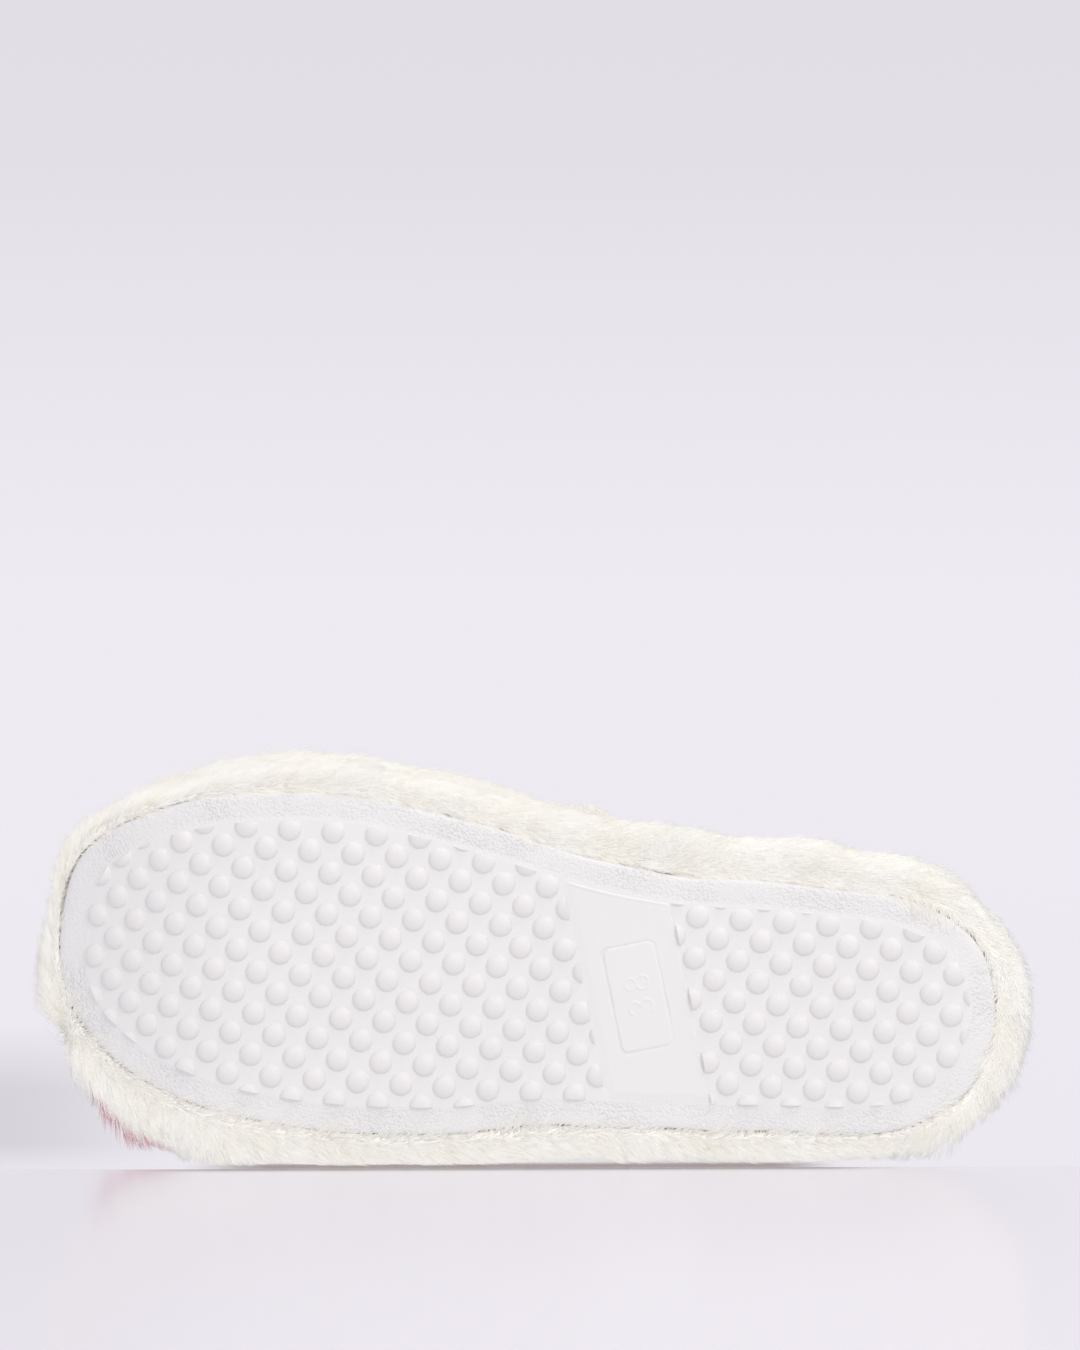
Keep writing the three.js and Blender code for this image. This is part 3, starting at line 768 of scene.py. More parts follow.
def rim_grid():
    """The band's outer face as a grid, with soft swells."""
    share = np.arange(RIM_STEPS) / RIM_STEPS
    outward, height = rim_outer(share)
    grid = ring_points(share, outward, height)
    swell = ripple(grid, 38, 11) * 0.55 + ripple(grid, 16, 12) * 0.25
    fade = np.sin(np.linspace(0, math.pi, RIM_SIDES)) ** 0.6
    way = unit(np.gradient(grid, axis=1))
    out = unit(np.cross(np.roll(grid, -1, 0) - np.roll(grid, 1, 0), way))
    middle = np.mean(grid, axis=(0, 1))
    sign = np.sign(((grid - middle) * out).sum(-1).mean())
    return grid + out * sign * (swell * fade[None])[..., None]


def vamp_edge(outward):
    """The closed line on which the vamp stands, drawn in a little at the toe."""
    share = SEAM_SHARE + np.arange(EDGE_STEPS) / EDGE_STEPS
    base = edge(share, np.full(EDGE_STEPS, outward))
    inset = -3 * (1 - smooth((base[:, 1] - TOE_Y) / TOE_BEND_FROM_TOE))
    return edge(share, outward + inset)


def vamp_points(outward, parts, angles):
    """The vamp's surface: parts run from the toe to the opening, angles from the inner side."""
    line = vamp_edge(outward)
    toe = line[:, 1].min()
    part, angle = np.meshgrid(parts, angles, indexing="ij")
    rise, side = np.sin(angle), np.cos(angle)
    length = VAMP_SIDE_LENGTH + (VAMP_MIDDLE_LENGTH - VAMP_SIDE_LENGTH) * rise**2
    from_toe = (TOE_Y + length - toe) * (1 - np.cos(part * math.pi / 2))
    y = toe + from_toe
    outer, inner = (x.reshape(y.shape) for x in crossing(line, np.maximum(y, toe + 0.01)))
    grown = smooth(from_toe / TOE_BEND_FROM_TOE)
    bulge = 4 * grown * np.sin(2 * np.minimum(angle, math.pi - angle))
    half = np.where(part == 0, 0, (inner - outer) / 2 + bulge)
    power = 2 / 2.3
    x = (inner + outer) / 2 + 5 * grown * rise**2 + half * np.sign(side) * np.abs(side) ** power
    growth = outward + 3.5
    dome = np.minimum(1, from_toe / (VAMP_TOE_RUN + growth))
    slope = np.clip((y - TOE_Y) / VAMP_MIDDLE_LENGTH, 0, 1)
    height = (24 + growth) * np.sqrt(1 - (1 - dome) ** 2) + 24 * slope
    z = VAMP_BASE + lift(y) + height * np.maximum(rise, 0) ** power
    return np.stack([x, y, z], -1)


def ruff_at(points):
    """How much the vamp's pile stands out at the toe's outer corner, from 0 to 1."""
    x, y, z = points[..., 0], points[..., 1], points[..., 2]
    found = smooth((-x - 8) / 14) * smooth((TOE_Y + 84 - y) / 28) * smooth((y - TOE_Y - 5) / 16)
    return found * smooth((54 - z + lift(y) * 0.6) / 20)


def ruffed(points):
    """The vamp's outer face, pushed out where the pile is fullest."""
    return points + RUFF_WAY * (RUFF_PUSH * ruff_at(points))[..., None]


def vamp_shell(name, inward, outward, wrinkle=0.0, seed=1, full=False):
    """One closed layer of the vamp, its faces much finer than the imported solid's."""
    parts = np.linspace(0, 1, 70) ** 0.8
    angles = np.linspace(0, math.pi, 73)
    layers = [vamp_points(distance, parts, angles) for distance in (inward, outward)]
    if wrinkle:
        fade = smooth(parts / 0.2)[:, None] * smooth(np.sin(angles) / 0.25)[None]
        for k, layer in enumerate(layers):
            out = unit(np.cross(np.gradient(layer, axis=1), np.gradient(layer, axis=0)))
            layers[k] = layer + out * (ripple(layer, 30, seed) * wrinkle * fade)[..., None]
    if full:
        layers[1] = ruffed(layers[1])
    rows, columns = len(parts), len(angles)
    points = np.concatenate([layer.reshape(-1, 3) for layer in layers])
    half = rows * columns
    inner = grid_quads(rows, columns)
    outer = inner[:, ::-1] + half
    i = np.arange(rows - 1) * columns
    j = (rows - 1) * columns + np.arange(columns - 1)
    sides = [
        np.stack([i, i + half, i + columns + half, i + columns], 1),
        np.stack([i, i + columns, i + columns + half, i + half], 1) + columns - 1,
        np.stack([j, j + half, j + 1 + half, j + 1], 1),
    ]
    obj = make_object(name, points, np.concatenate([inner, outer, *sides]))
    return face_outwards(obj, weld=0.002)


# Dyed patches on the vamp: where they lie from the toe tip and round the vamp, and their size.
PATCHES = (
    (14, 2.8, 24), (40, 2.95, 20), (78, 3.05, 22), (112, 2.80, 19), (38, 1.95, 15), (72, 2.3, 13),
    (97, 1.9, 15), (26, 1.15, 12), (62, 1.3, 16), (102, 1.12, 14), (134, 0.14, 9),
)


def dyed(points):
    """How strongly each place of the vamp is dyed, from 0 to 1."""
    found = np.zeros(len(points))
    line = vamp_edge(6.0)
    for from_toe, angle, size in PATCHES:
        y = TOE_Y + from_toe
        outer, inner = crossing(line, [y])
        half = (inner[0] - outer[0]) / 2
        height = 30 + 22 * min(1, from_toe / VAMP_MIDDLE_LENGTH)
        rise = height * math.sin(angle) * min(1, from_toe / 30)
        at = np.array([
            (inner[0] + outer[0]) / 2 + half * math.cos(angle),
            y,
            VAMP_BASE + float(lift(np.array(y))) + rise,
        ])
        away = np.linalg.norm(points - at, axis=1)
        found = np.maximum(found, smooth((size + ripple(points, 14, 31) * 3 - away) / 3.5))
    return found


# ---------------------------------------------------------------- settings

class SlipperSoleSettings(bpy.types.PropertyGroup):
    """Sizes and colour of the dotted sole."""
    dot_diameter: FloatProperty(
        name="Dot diameter", description="Across a dot at its foot", default=6.2 * MM,
        min=3 * MM, max=9 * MM, unit="LENGTH", precision=4)
    dot_height: FloatProperty(
        name="Dot height", description="How far a dot stands out of the sole", default=1.5 * MM,
        min=0.5 * MM, max=1.8 * MM, unit="LENGTH", precision=4)
    panel_rise: FloatProperty(
        name="Panel rise", description="How far the smooth waist panel stands out",
        default=0.22 * MM, min=0.1 * MM, max=1 * MM, unit="LENGTH", precision=4)
    colour: FloatVectorProperty(
        name="Rubber", description="Colour of the sole's rubber", default=(0.835, 0.83, 0.812),
        min=0, max=1, subtype="COLOR")


class SlipperFurSettings(bpy.types.PropertyGroup):
    """Amount, length and colours of the pile."""
    rim_strands: IntProperty(
        name="Rim strands", description="Strands on the rim band", default=74000,
        min=1000, max=90000)
    vamp_strands: IntProperty(
        name="Vamp strands", description="Strands on the vamp", default=48000,
        min=1000, max=90000)
    plush_strands: IntProperty(
        name="Plush strands", description="Short strands on the footbed and the topline",
        default=42000, min=1000, max=90000)
    length: FloatProperty(
        name="Pile length", description="Length of a strand on the rim and the vamp",
        default=9.5 * MM, min=4 * MM, max=16 * MM, unit="LENGTH", precision=4)
    width: FloatProperty(
        name="Strand width", description="Width of a strand at its root", default=0.32 * MM,
        min=0.1 * MM, max=0.8 * MM, unit="LENGTH", precision=5)
    cream: FloatVectorProperty(
        name="Cream", description="Colour of the pile", default=(0.985, 0.978, 0.925),
        min=0, max=1, subtype="COLOR")
    # In the pile the root colour is painted shade deep among the strands. The knitted backings use
    # it as their darker mottle.
    root: FloatVectorProperty(
        name="Root", description="Colour of the pile at its roots", default=(0.94, 0.918, 0.825),
        min=0, max=1, subtype="COLOR")
    pink: FloatVectorProperty(
        name="Pink", description="Colour of the dyed patches", default=(0.78, 0.085, 0.175),
        min=0, max=1, subtype="COLOR")


class SlipperStageSettings(bpy.types.PropertyGroup):
    """Camera, floor and light."""
    distance: FloatProperty(
        name="Camera distance", description="From the camera to the middle of the view",
        default=2.0, min=0.5, max=4, unit="LENGTH")
    field: FloatProperty(
        name="Field height", description="Height of the view at the slipper", default=0.3572,
        min=0.2, max=1, unit="LENGTH", precision=4)
    rise: FloatProperty(
        name="Camera rise", description="How far the camera looks down on the floor",
        default=math.radians(5), min=0, max=math.radians(30), unit="ROTATION")
    turn: FloatProperty(
        name="Turn", description="How far the slipper's length is turned in the view",
        default=math.radians(5.6), min=0, max=math.radians(30), unit="ROTATION")
    backdrop: FloatVectorProperty(
        name="Backdrop", description="Colour of the studio", default=(0.85, 0.825, 0.882),
        min=0, max=1, subtype="COLOR")


# ---------------------------------------------------------------- outsole

ALONG_PITCH = np.array([0.40, 11.5])
ACROSS_PITCH = np.array([11.0, -0.22])
FIRST_DOT = np.array([3.67, 3.5])
PANEL_MIDDLE = np.array([0.0, 29.4])
PANEL_SLANT = math.radians(17)
PANEL_ACROSS = np.array([math.cos(PANEL_SLANT), -math.sin(PANEL_SLANT)])
PANEL_ALONG = np.array([math.sin(PANEL_SLANT), math.cos(PANEL_SLANT)])
PANEL_HALF = 13.25
DOT_PANEL_GAP = 0.4
DOT_SIDES = 28
RELIEF_STEP = 0.24
PLATE_HALF = (7.1, 14.2)
PLATE_ROUND = 2


def edge_distance(points):
    """How far outside the sole's edge points are, and the nearest edge points and facings."""
    away = points[:, None] - LINE[None, ::4]
    near = np.argmin((away**2).sum(-1), 1) * 4
    out = OUTWARD[near]
    return ((points - LINE[near]) * out).sum(1), LINE[near], out


def sole_base(name):
    """The sole's plate: pebbled border, rolled edge and a plain field for the dots."""
    profile = [
        (-7.6, 1.8), (-7.2, 1.8), (-6, 1.8), (-4.5, 1.8), (-3, 1.8), (-1.6, 1.82), (-0.8, 1.9),
        (-0.35, 2.1), (-0.08, 2.5), (0, 3.1), (0, 4.55), (-0.25, 4.8), (-9, 4.8),
    ]

    def wobble(share):
        flat = edge(share)
        return ripple(flat, 26, 5) * 0.3 - 0.05

    return slab(name, profile, wobble=wobble)


def bent_along(y):
    """Where places along the flat sheet lie once the toe is bent up, its length kept."""
    place = np.linspace(TOE_Y, TOE_Y + TOE_BEND_FROM_TOE, 600)
    run = np.hypot(np.gradient(place), np.gradient(lift(place)))
    run = np.cumsum(run) - run / 2
    flat = place[-1] - (run[-1] - run)
    return np.where(y < place[-1], np.interp(y, flat, place, left=-2 * SOLE_LENGTH), y)


def dot_places():
    """Dot centres in staggered rows, wherever a dot meets the field."""
    rows = np.arange(-30, 31)
    columns = np.arange(-12, 13)
    row, column = (a.ravel() for a in np.meshgrid(rows, columns, indexing="ij"))
    spot = (
        FIRST_DOT
        + row[:, None] / 2 * ALONG_PITCH
        + (column + (row % 2) / 2)[:, None] * ACROSS_PITCH
    )
    spot[:, 1] = bent_along(spot[:, 1])
    return spot


def one_dot(x, y, radius, height, dimple):
    """Rings of a low dome square to the sole, its tip sometimes marked by the mould."""
    shape = np.array([
        (1.06, -0.12), (1.01, 0.0), (0.985, 0.13), (0.95, 0.28), (0.89, 0.45), (0.8, 0.61),
        (0.66, 0.77), (0.48, 0.89), (0.28, 0.965), (0.1, 0.995),
    ])
    slope = float(lift(np.array(y + 0.5)) - lift(np.array(y - 0.5)))
    run = math.hypot(1, slope)
    along = np.array([0, 1, slope]) / run
    down = np.array([0, slope, -1]) / run
    turn = 2 * math.pi * np.arange(DOT_SIDES) / DOT_SIDES
    base = np.array([x, y, SOLE_FACE + float(lift(np.array(y)))])
    points = [base - down * 0.3]
    for share, rise in shape:
        ring = radius * share
        round_dot = np.outer(np.cos(turn) * ring, (1, 0, 0)) + np.outer(np.sin(turn) * ring, along)
        points.extend(base + round_dot + down * rise * height)
    points.append(base + down * (height - dimple))
    return points, len(shape)


def dots_mesh(settings, rng):
    """All dots as closed meshes, cut off along the border and beside the waist panel."""
    radius = settings.dot_diameter / MM / 2
    height = settings.dot_height / MM
    spots = dot_places()
    away, near, out = edge_distance(spots)
    from_panel = (spots - PANEL_MIDDLE) @ PANEL_ALONG
    limit = PANEL_HALF + DOT_PANEL_GAP
    keep = (away < radius - BORDER_WIDTH - 0.25) & (np.abs(from_panel) > limit - radius + 0.3)
    made = bmesh.new()
    layers = {key: made.verts.layers.float.new(key) for key in ("mould_mark", "darker_top")}
    for k in np.flatnonzero(keep):
        x, y = spots[k]
        dimple = 0.07 if rng.random() < 0.2 else 0.0
        points, rings = one_dot(x, y, radius, height, dimple)
        small = bmesh.new()
        own = {key: small.verts.layers.float.new(key) for key in layers}
        verts = [small.verts.new(p) for p in points]
        verts[-1][own["mould_mark"]] = 1.0 if dimple else 0.0
        # The dome's upper rings are marked for the rubber's darker tone on the dome tops.
        for v in verts[1 + 3 * DOT_SIDES:]:
            v[own["darker_top"]] = 1.0
        for j in range(DOT_SIDES):
            n = (j + 1) % DOT_SIDES
            small.faces.new((verts[0], verts[1 + n], verts[1 + j]))
            for r in range(rings - 1):
                a, b = 1 + r * DOT_SIDES, 1 + (r + 1) * DOT_SIDES
                small.faces.new((verts[a + j], verts[a + n], verts[b + n], verts[b + j]))
            last = 1 + (rings - 1) * DOT_SIDES
            small.faces.new((verts[last + j], verts[last + n], verts[-1]))
        cuts = []
        if away[k] > -BORDER_WIDTH - radius:
            cuts.append((near[k] - out[k] * BORDER_WIDTH, out[k]))
        if abs(from_panel[k]) < limit + radius:
            side = math.copysign(1, from_panel[k])
            cuts.append((PANEL_MIDDLE + PANEL_ALONG * limit * side, -PANEL_ALONG * side))
        for place, way in cuts:
            geometry = small.verts[:] + small.edges[:] + small.faces[:]
            bmesh.ops.bisect_plane(
                small, geom=geometry, plane_co=(*place, 0), plane_no=(*way, 0), clear_outer=True)
            rim = [e for e in small.edges if e.is_boundary]
            if rim:
                bmesh.ops.contextual_create(small, geom=rim)
        bmesh.ops.recalc_face_normals(small, faces=small.faces)
        copies = {v: made.verts.new(v.co) for v in small.verts}
        for v, copy in copies.items():
            for key, layer in layers.items():
                copy[layer] = v[own[key]]
        for face in small.faces:
            made.faces.new([copies[v] for v in face.verts])
        small.free()
    for v in made.verts:
        v.co = (v.co + Vector(SHIFT)) * MM
    mesh = bpy.data.meshes.new("dots")
    made.to_mesh(mesh)
    made.free()
    return mesh


def distance_to_stroke(p, q, stroke):
    """Distance from places to a line of points."""
    best = np.full(p.shape, 1e9)
    for (ax, ay), (bx, by) in zip(stroke[:-1], stroke[1:]):
        dx, dy = bx - ax, by - ay
        t = np.clip(((p - ax) * dx + (q - ay) * dy) / (dx * dx + dy * dy + 1e-12), 0, 1)
        best = np.minimum(best, np.hypot(p - ax - dx * t, q - ay - dy * t))
    return best


def arc(cx, cy, rx, ry, start, stop):
    """Part of an ellipse, from one angle to another in degrees."""
    turn = np.radians(np.linspace(start, stop, 22))
    return np.column_stack([cx + rx * np.cos(turn), cy + ry * np.sin(turn)])


def size_figures():
    """Strokes of the size number, each figure 6.4 high, centred on the number's middle."""
    return [
        arc(-3.3, 1.65, 1.75, 1.6, 150, -80),
        arc(-3.3, -1.55, 1.95, 1.65, 80, -150),
        arc(3.3, 1.7, 1.5, 1.5, 0, 360),
        arc(3.3, -1.5, 1.8, 1.7, 0, 360),
    ]


def panel_mesh(settings):
    """The smooth waist panel with its size plate and figures, as a fine relief."""
    rise = settings.panel_rise / MM
    along = np.arange(-PANEL_HALF - 0.9, PANEL_HALF + 0.9, RELIEF_STEP)
    across = np.arange(-37.5, 35.5, RELIEF_STEP)
    p, q = np.meshgrid(along, across, indexing="ij")
    flat = PANEL_MIDDLE + p[..., None] * PANEL_ALONG + q[..., None] * PANEL_ACROSS
    away = edge_distance(flat.reshape(-1, 2))[0].reshape(p.shape)
    sheet = np.dstack([p, q])
    wave = ripple(sheet, 9, 21) * 0.14
    inside = smooth((PANEL_HALF + wave - p) / 0.7)
    inside = np.minimum(inside, smooth((PANEL_HALF + wave + p) / 2.6))
    inner_end = smooth(q / 6)
    inside = np.minimum(inside, smooth((-away - BORDER_WIDTH + wave) / (2.4 - 1.8 * inner_end)))
    flash = smooth(0.5 + ripple(sheet, 24, 23))
    flash_end = smooth((4 - q) / 10) * 0.8 + 0.2
    ridge = np.exp(-((PANEL_HALF - 0.4 - p + wave) / 0.26) ** 2) * 0.2 * flash * flash_end
    from_border = -away - BORDER_WIDTH
    ridge += np.exp(-((from_border - 0.5) / 0.28) ** 2) * 0.2 * (q > 0) * (1 - flash * 0.3)
    height = rise * inside + ridge * inside
    plate_p = np.abs(p) - PLATE_HALF[0] + PLATE_ROUND
    plate_q = np.abs(q + 1.3) - PLATE_HALF[1] + PLATE_ROUND
    plate = np.hypot(np.maximum(plate_p, 0), np.maximum(plate_q, 0)) - PLATE_ROUND
    plate += np.minimum(np.maximum(plate_p, plate_q), 0)
    groove = np.exp(-((plate + wave * 0.5) / 0.26) ** 2)
    deeper = 0.5 + 0.5 * ripple(sheet, 11, 22)
    toe_side = smooth((-p - 4) / 3)
    height -= groove * (0.10 + 0.26 * deeper + 0.45 * toe_side * deeper)
    height += smooth(-plate / 0.5) * (0.10 - 0.012 * p)
    digits = np.full(p.shape, 1e9)
    for stroke in size_figures():
        digits = np.minimum(digits, distance_to_stroke(q + 0.9, -p + 0.4, stroke))
    height += 0.13 * smooth((0.44 - digits) / 0.34)
    height = np.where(inside <= 0, -0.5, height)
    z = SOLE_FACE - height + lift(flat[..., 1])
    points = np.dstack([flat, z]).reshape(-1, 3)
    quads = grid_quads(*p.shape)
    shown = (inside.ravel()[quads] > 0).any(1)
    used, index = np.unique(quads[shown], return_inverse=True)
    return make_object("waist_panel", points[used], index.reshape(-1, 4)[:, ::-1])


def keep_order(parts, place):
    """Puts a mesh's parts in the order of their places, which is the same in every run."""
    rank = {part: i for i, part in enumerate(sorted(parts, key=place))}
    parts.sort(key=lambda part: rank[part])


def close_back(obj, z):
    """Closes an open relief with walls down to a flat back inside the sole."""
    work = bmesh.new()
    work.from_mesh(obj.data)
    rim = [e for e in work.edges if e.is_boundary]
    grown = bmesh.ops.extrude_edge_only(work, edges=rim)["geom"]
    for v in grown:
        if isinstance(v, bmesh.types.BMVert):
            v.co.z = z * MM
    loop = [e for e in work.edges if e.is_boundary]
    bmesh.ops.contextual_create(work, geom=loop)
    bmesh.ops.recalc_face_normals(work, faces=work.faces)
    keep_order(work.verts, lambda v: tuple(v.co))
    keep_order(work.faces, lambda f: tuple(f.calc_center_median()))
    work.to_mesh(obj.data)
    work.free()


def joined(name, objects):
    """Several objects' meshes in one new object, keeping their point values."""
    bpy.ops.object.select_all(action="DESELECT")
    for obj in objects:
        obj.select_set(True)
    bpy.context.view_layer.objects.active = objects[0]
    bpy.ops.object.join()
    objects[0].name = name
    objects[0].data.name = name
    return objects[0]


class SLIPPER_OT_outsole(bpy.types.Operator):
    """Build the dotted rubber sole with its border, waist panel and size plate"""
    bl_idname = "slipper.outsole"
    bl_label = "Build sole"

    def execute(self, context):
        settings = context.scene.slipper_sole
        base = sole_base("sole_base")
        away = edge_distance(sole_places(base)[:, :2])[0]
        keep_value(base.data, "border", smooth((away + BORDER_WIDTH - 0.2) / 1.2))
        dots = add_to_scene("dots", dots_mesh(settings, np.random.default_rng(41)))
        panel = panel_mesh(settings)
        close_back(panel, SOLE_FACE + 0.9)
        sole = joined("dotted_sole", [base, dots, panel])
        sole.data.polygons.foreach_set("use_smooth", np.ones(len(sole.data.polygons), bool))
        sole.data.set_sharp_from_angle(angle=math.radians(48))
        piece(sole, "outsole_rubber", rubber(settings.colour), "outsole")
        return {"FINISHED"}


# ---------------------------------------------------------------- rim band

def rim_fur(settings, grid, part):
    """One stretch of the band's pile."""
    rng = np.random.default_rng(100 + part)
    count = settings.rim_strands // RIM_PARTS
    rows = RIM_STEPS // RIM_PARTS
    stretch = np.concatenate([grid, grid[:1]])[part * rows:(part + 1) * rows + 1]
    places = scatter(stretch, count, rng)
    roots, facing, _, up, place = places
    share = (part + place[:, 0]) / RIM_PARTS
    outer = smooth((share - 0.52) / 0.1) * smooth((1.0 - share) / 0.06)
    toe = np.maximum(smooth((share - 0.93) / 0.05), smooth((0.07 - share) / 0.05))
    low = smooth((0.3 - place[:, 1]) / 0.3)
    out = 0.22 + 0.36 * outer + 0.15 * toe - 0.1 * low
    inner_side = smooth((share - 0.04) / 0.04) * smooth((0.43 - share) / 0.04)
    over = smooth((0.24 - place[:, 1]) / 0.12) * (1 - inner_side)
    out = out - over * 1.7
    flow = 2 * smooth((0.62 - share) / 0.1) - 1 + 2 * smooth((share - 0.90) / 0.09)
    contour = np.stack([around(RUN[:, 0], share), around(RUN[:, 1], share), 0 * share], 1)
    comb = unit(lay(contour * flow[:, None] + [0.0, 0.25, 0.0], facing))
    comb = comb + up * out[:, None]
    comb = unit(lay(comb, facing))
    angle = ripple(roots, 30, 61) * 0.28 + ripple(roots, 9, 62) * 0.24
    comb = turned(comb, facing, angle + rng.normal(size=count) * 0.1)
    size = settings.length / MM
    length = size * (1 + 0.18 * ripple(roots, 22, 63)) * rng.uniform(0.75, 1.15, count)
    length *= 1 - 0.35 * low
    tuft = smooth(1 - np.abs(share - 0.93) / 0.055)
    length *= 1 + 0.25 * tuft
    stray = rng.random(count) < 0.035
    stand = np.where(stray, 0.7, 0.48) + 0.25 * tuft * (1 - low) - 0.12 * low + 0.3 * over
    lean = np.where(stray, 0.28, 0.06) + 0.08 * rng.normal(size=count) + 0.2 * tuft * (1 - low)
    lean -= 0.15 * over
    posture = (stand, lean, np.where(stray, 0.2, 0.72))
    return grow(
        f"rim_pile_{part + 1}", LONG_PILE, rng, places, comb, length, posture,
        scale=settings.width / MM, thin=np.where(stray, 0.6, 1))


class SLIPPER_OT_rim(bpy.types.Operator):
    """Build the long-pile band that wraps the sole's side"""
    bl_idname = "slipper.rim"
    bl_label = "Build rim band"

    def execute(self, context):
        settings = context.scene.slipper_fur
        grid = pressed(rim_grid())
        share = np.arange(RIM_STEPS) / RIM_STEPS
        inside = [(0.05, 23.0), (0.05, 6.3), (-8.5, 6.2), (-8.5, 5.2), (0.2, 5.15)]
        whole = np.ones((RIM_STEPS, 1))
        rows = [ring_points(share, whole * outward, whole * height) for outward, height in inside]
        closed = np.concatenate([grid, *rows], 1)
        quads = grid_quads(*closed.shape[:2], wrap_rows=True, wrap_columns=True)
        shell = face_outwards(make_object("rim_backing", closed.reshape(-1, 3), quads))
        piece(shell, "cream_fur", cloth_material("rim backing", settings, 700, 0.4), "rim_band")
        material = fur_material("cream pile", settings)
        for part in range(RIM_PARTS):
            piece(rim_fur(settings, grid, part), "cream_fur", material)
        return {"FINISHED"}


# ---------------------------------------------------------------- vamp

def vamp_fur(settings, grid, part):
    """One strip of the vamp's pile."""
    rng = np.random.default_rng(200 + part)
    count = settings.vamp_strands // VAMP_PARTS
    columns = grid.shape[1] - 1
    first, last = (columns * n // VAMP_PARTS for n in (part, part + 1))
    roots, facing, run, up, place = scatter(grid[:, first:last + 1], count, rng)
    facing = facing * np.sign((facing * (roots - [0, -60, 20])).sum(1))[:, None]
    fall = np.tile([0.0, 1.0, -0.25], (count, 1))
    comb = unit(lay(fall, facing) + 0.15 * run)
    angle = ripple(roots, 32, 71) * 0.35 + ripple(roots, 10, 72) * 0.25
    comb = turned(comb, facing, angle + rng.normal(size=count) * 0.1)
    size = settings.length / MM
    length = size * (1 + 0.15 * ripple(roots, 20, 73)) * rng.uniform(0.75, 1.15, count)
    rear = smooth((roots[:, 1] - (TOE_Y + 100)) / 30)
    length *= 1 - 0.3 * rear
    ruff = ruff_at(roots)
    length *= 1 + 0.45 * ruff
    stray = rng.random(count) < 0.06
    stand = np.where(stray, 0.85, 0.5) + 0.7 * ruff
    lean = np.where(stray, 0.38, 0.10) + 0.1 * rng.normal(size=count) + 0.5 * ruff
    posture = (stand, lean, np.where(stray, 0.2, 0.72))
    return grow(
        f"vamp_pile_{part + 1}", LONG_PILE, rng, (roots, facing, run, up, place), comb, length,
        posture, scale=settings.width / MM, thin=np.where(stray, 0.6, 1), pink=dyed(roots))


class SLIPPER_OT_vamp(bpy.types.Operator):
    """Build the furry vamp with its dyed patches, its foam and its plush lining"""
    bl_idname = "slipper.vamp"
    bl_label = "Build vamp"

    def execute(self, context):
        settings = context.scene.slipper_fur
        shell = vamp_shell("vamp_backing", 1.1, 3.1, 0.35, 81, full=True)
        keep_value(shell.data, "pink", dyed(sole_places(shell)))
        backing = cloth_material("vamp backing", settings, 700, 0.4, tuple(settings.pink))
        piece(shell, "patched_fur", backing, "vamp_fur")
        lining = vamp_shell("vamp_lining_plush", -3.5, -1.3, 0.3, 82)
        plush = cloth_material("cream plush", settings, 520, 0.9)
        piece(lining, "cream_plush", plush, "vamp_lining")
        foam = vamp_shell("vamp_padding", -1.0, 0.8)
        piece(foam, "foam", foam_material(), "vamp_foam")
        parts = np.linspace(0.03, 1, 120)
        grid = pressed(ruffed(vamp_points(3.1, parts, np.linspace(0, math.pi, 121))))
        material = fur_material("patched pile", settings)
        for part in range(VAMP_PARTS):
            piece(vamp_fur(settings, grid, part), "patched_fur", material)
        return {"FINISHED"}


def binding_grid():
    """The rolled edge round the opening, from the inner corner over to the outer one."""
    angles = np.linspace(0, math.pi, 121)
    inside = vamp_points(-3.5, np.array([1.0]), angles)[0]
    outside = vamp_points(6.3, np.array([1.0]), angles)[0]
    across = outside - inside
    across[:, 1] = 0
    half = np.linalg.norm(across, axis=1)[:, None] / 2 + 0.5 - 1.2
    middle = (inside + outside) / 2
    across = unit(across)
    turn = np.linspace(0, 2 * math.pi, 25)[:-1]
    ends = smooth(np.minimum(angles, math.pi - angles) / 0.05) * 0.15 + 0.85
    rings = (
        middle[:, None]
        + across[:, None] * (half * ends[:, None] * np.cos(turn)[None])[..., None]
        + np.array([0, 1.0, 0]) * (4.0 + 2.9 * np.sin(turn)[None, :, None])
    )
    rings[..., 2] += ripple(rings, 15, 91) * 0.25
    return rings


class SLIPPER_OT_topline(bpy.types.Operator):
    """Build the plush roll round the foot opening"""
    bl_idname = "slipper.topline"
    bl_label = "Build topline"

    def execute(self, context):
        settings = context.scene.slipper_fur
        grid = binding_grid()
        rows, columns = grid.shape[:2]
        points = np.concatenate([grid.reshape(-1, 3), grid[:1].mean(1), grid[-1:].mean(1)])
        quads = grid_quads(rows, columns, wrap_columns=True)
        j = np.arange(columns)
        k = (j + 1) % columns
        caps = np.concatenate([
            np.stack([j + start, k + start, np.full(columns, tip)], 1)
            for start, tip in ((0, rows * columns), ((rows - 1) * columns, rows * columns + 1))
        ])
        roll = face_outwards(make_object("topline_roll", points, quads, caps))
        plush = cloth_material("topline plush", settings, 520, 0.5)
        piece(roll, "cream_plush", plush, "topline_binding")
        rng = np.random.default_rng(300)
        loop = np.concatenate([grid, grid[:, :1]], 1)
        count = settings.plush_strands // 4
        roots, facing, run, up, place = scatter(loop, count, rng)
        middle = grid.mean(1)[np.clip((place[:, 0] * (rows - 1)).astype(int), 0, rows - 1)]
        facing = facing * np.sign((facing * (roots - middle)).sum(1))[:, None]
        comb = unit(lay(run * 0.3 + rng.normal(size=(count, 3)) * 0.6, facing))
        length = rng.uniform(2.2, 3.6, count)
        nap = grow(
            "topline_nap", TOPLINE_NAP, rng, (roots, facing, run, up, place), comb, length,
            (1.6, 1.0, 0.5))
        piece(nap, "cream_plush", fur_material("topline nap", settings))
        return {"FINISHED"}


# ---------------------------------------------------------------- footbed and inner layers

def crown(height):
    """Extra height that rises towards the middle line of a padded plate."""
    return lambda ring, part: height * math.sin(math.pi / 2 * min(1, part * 2.2))


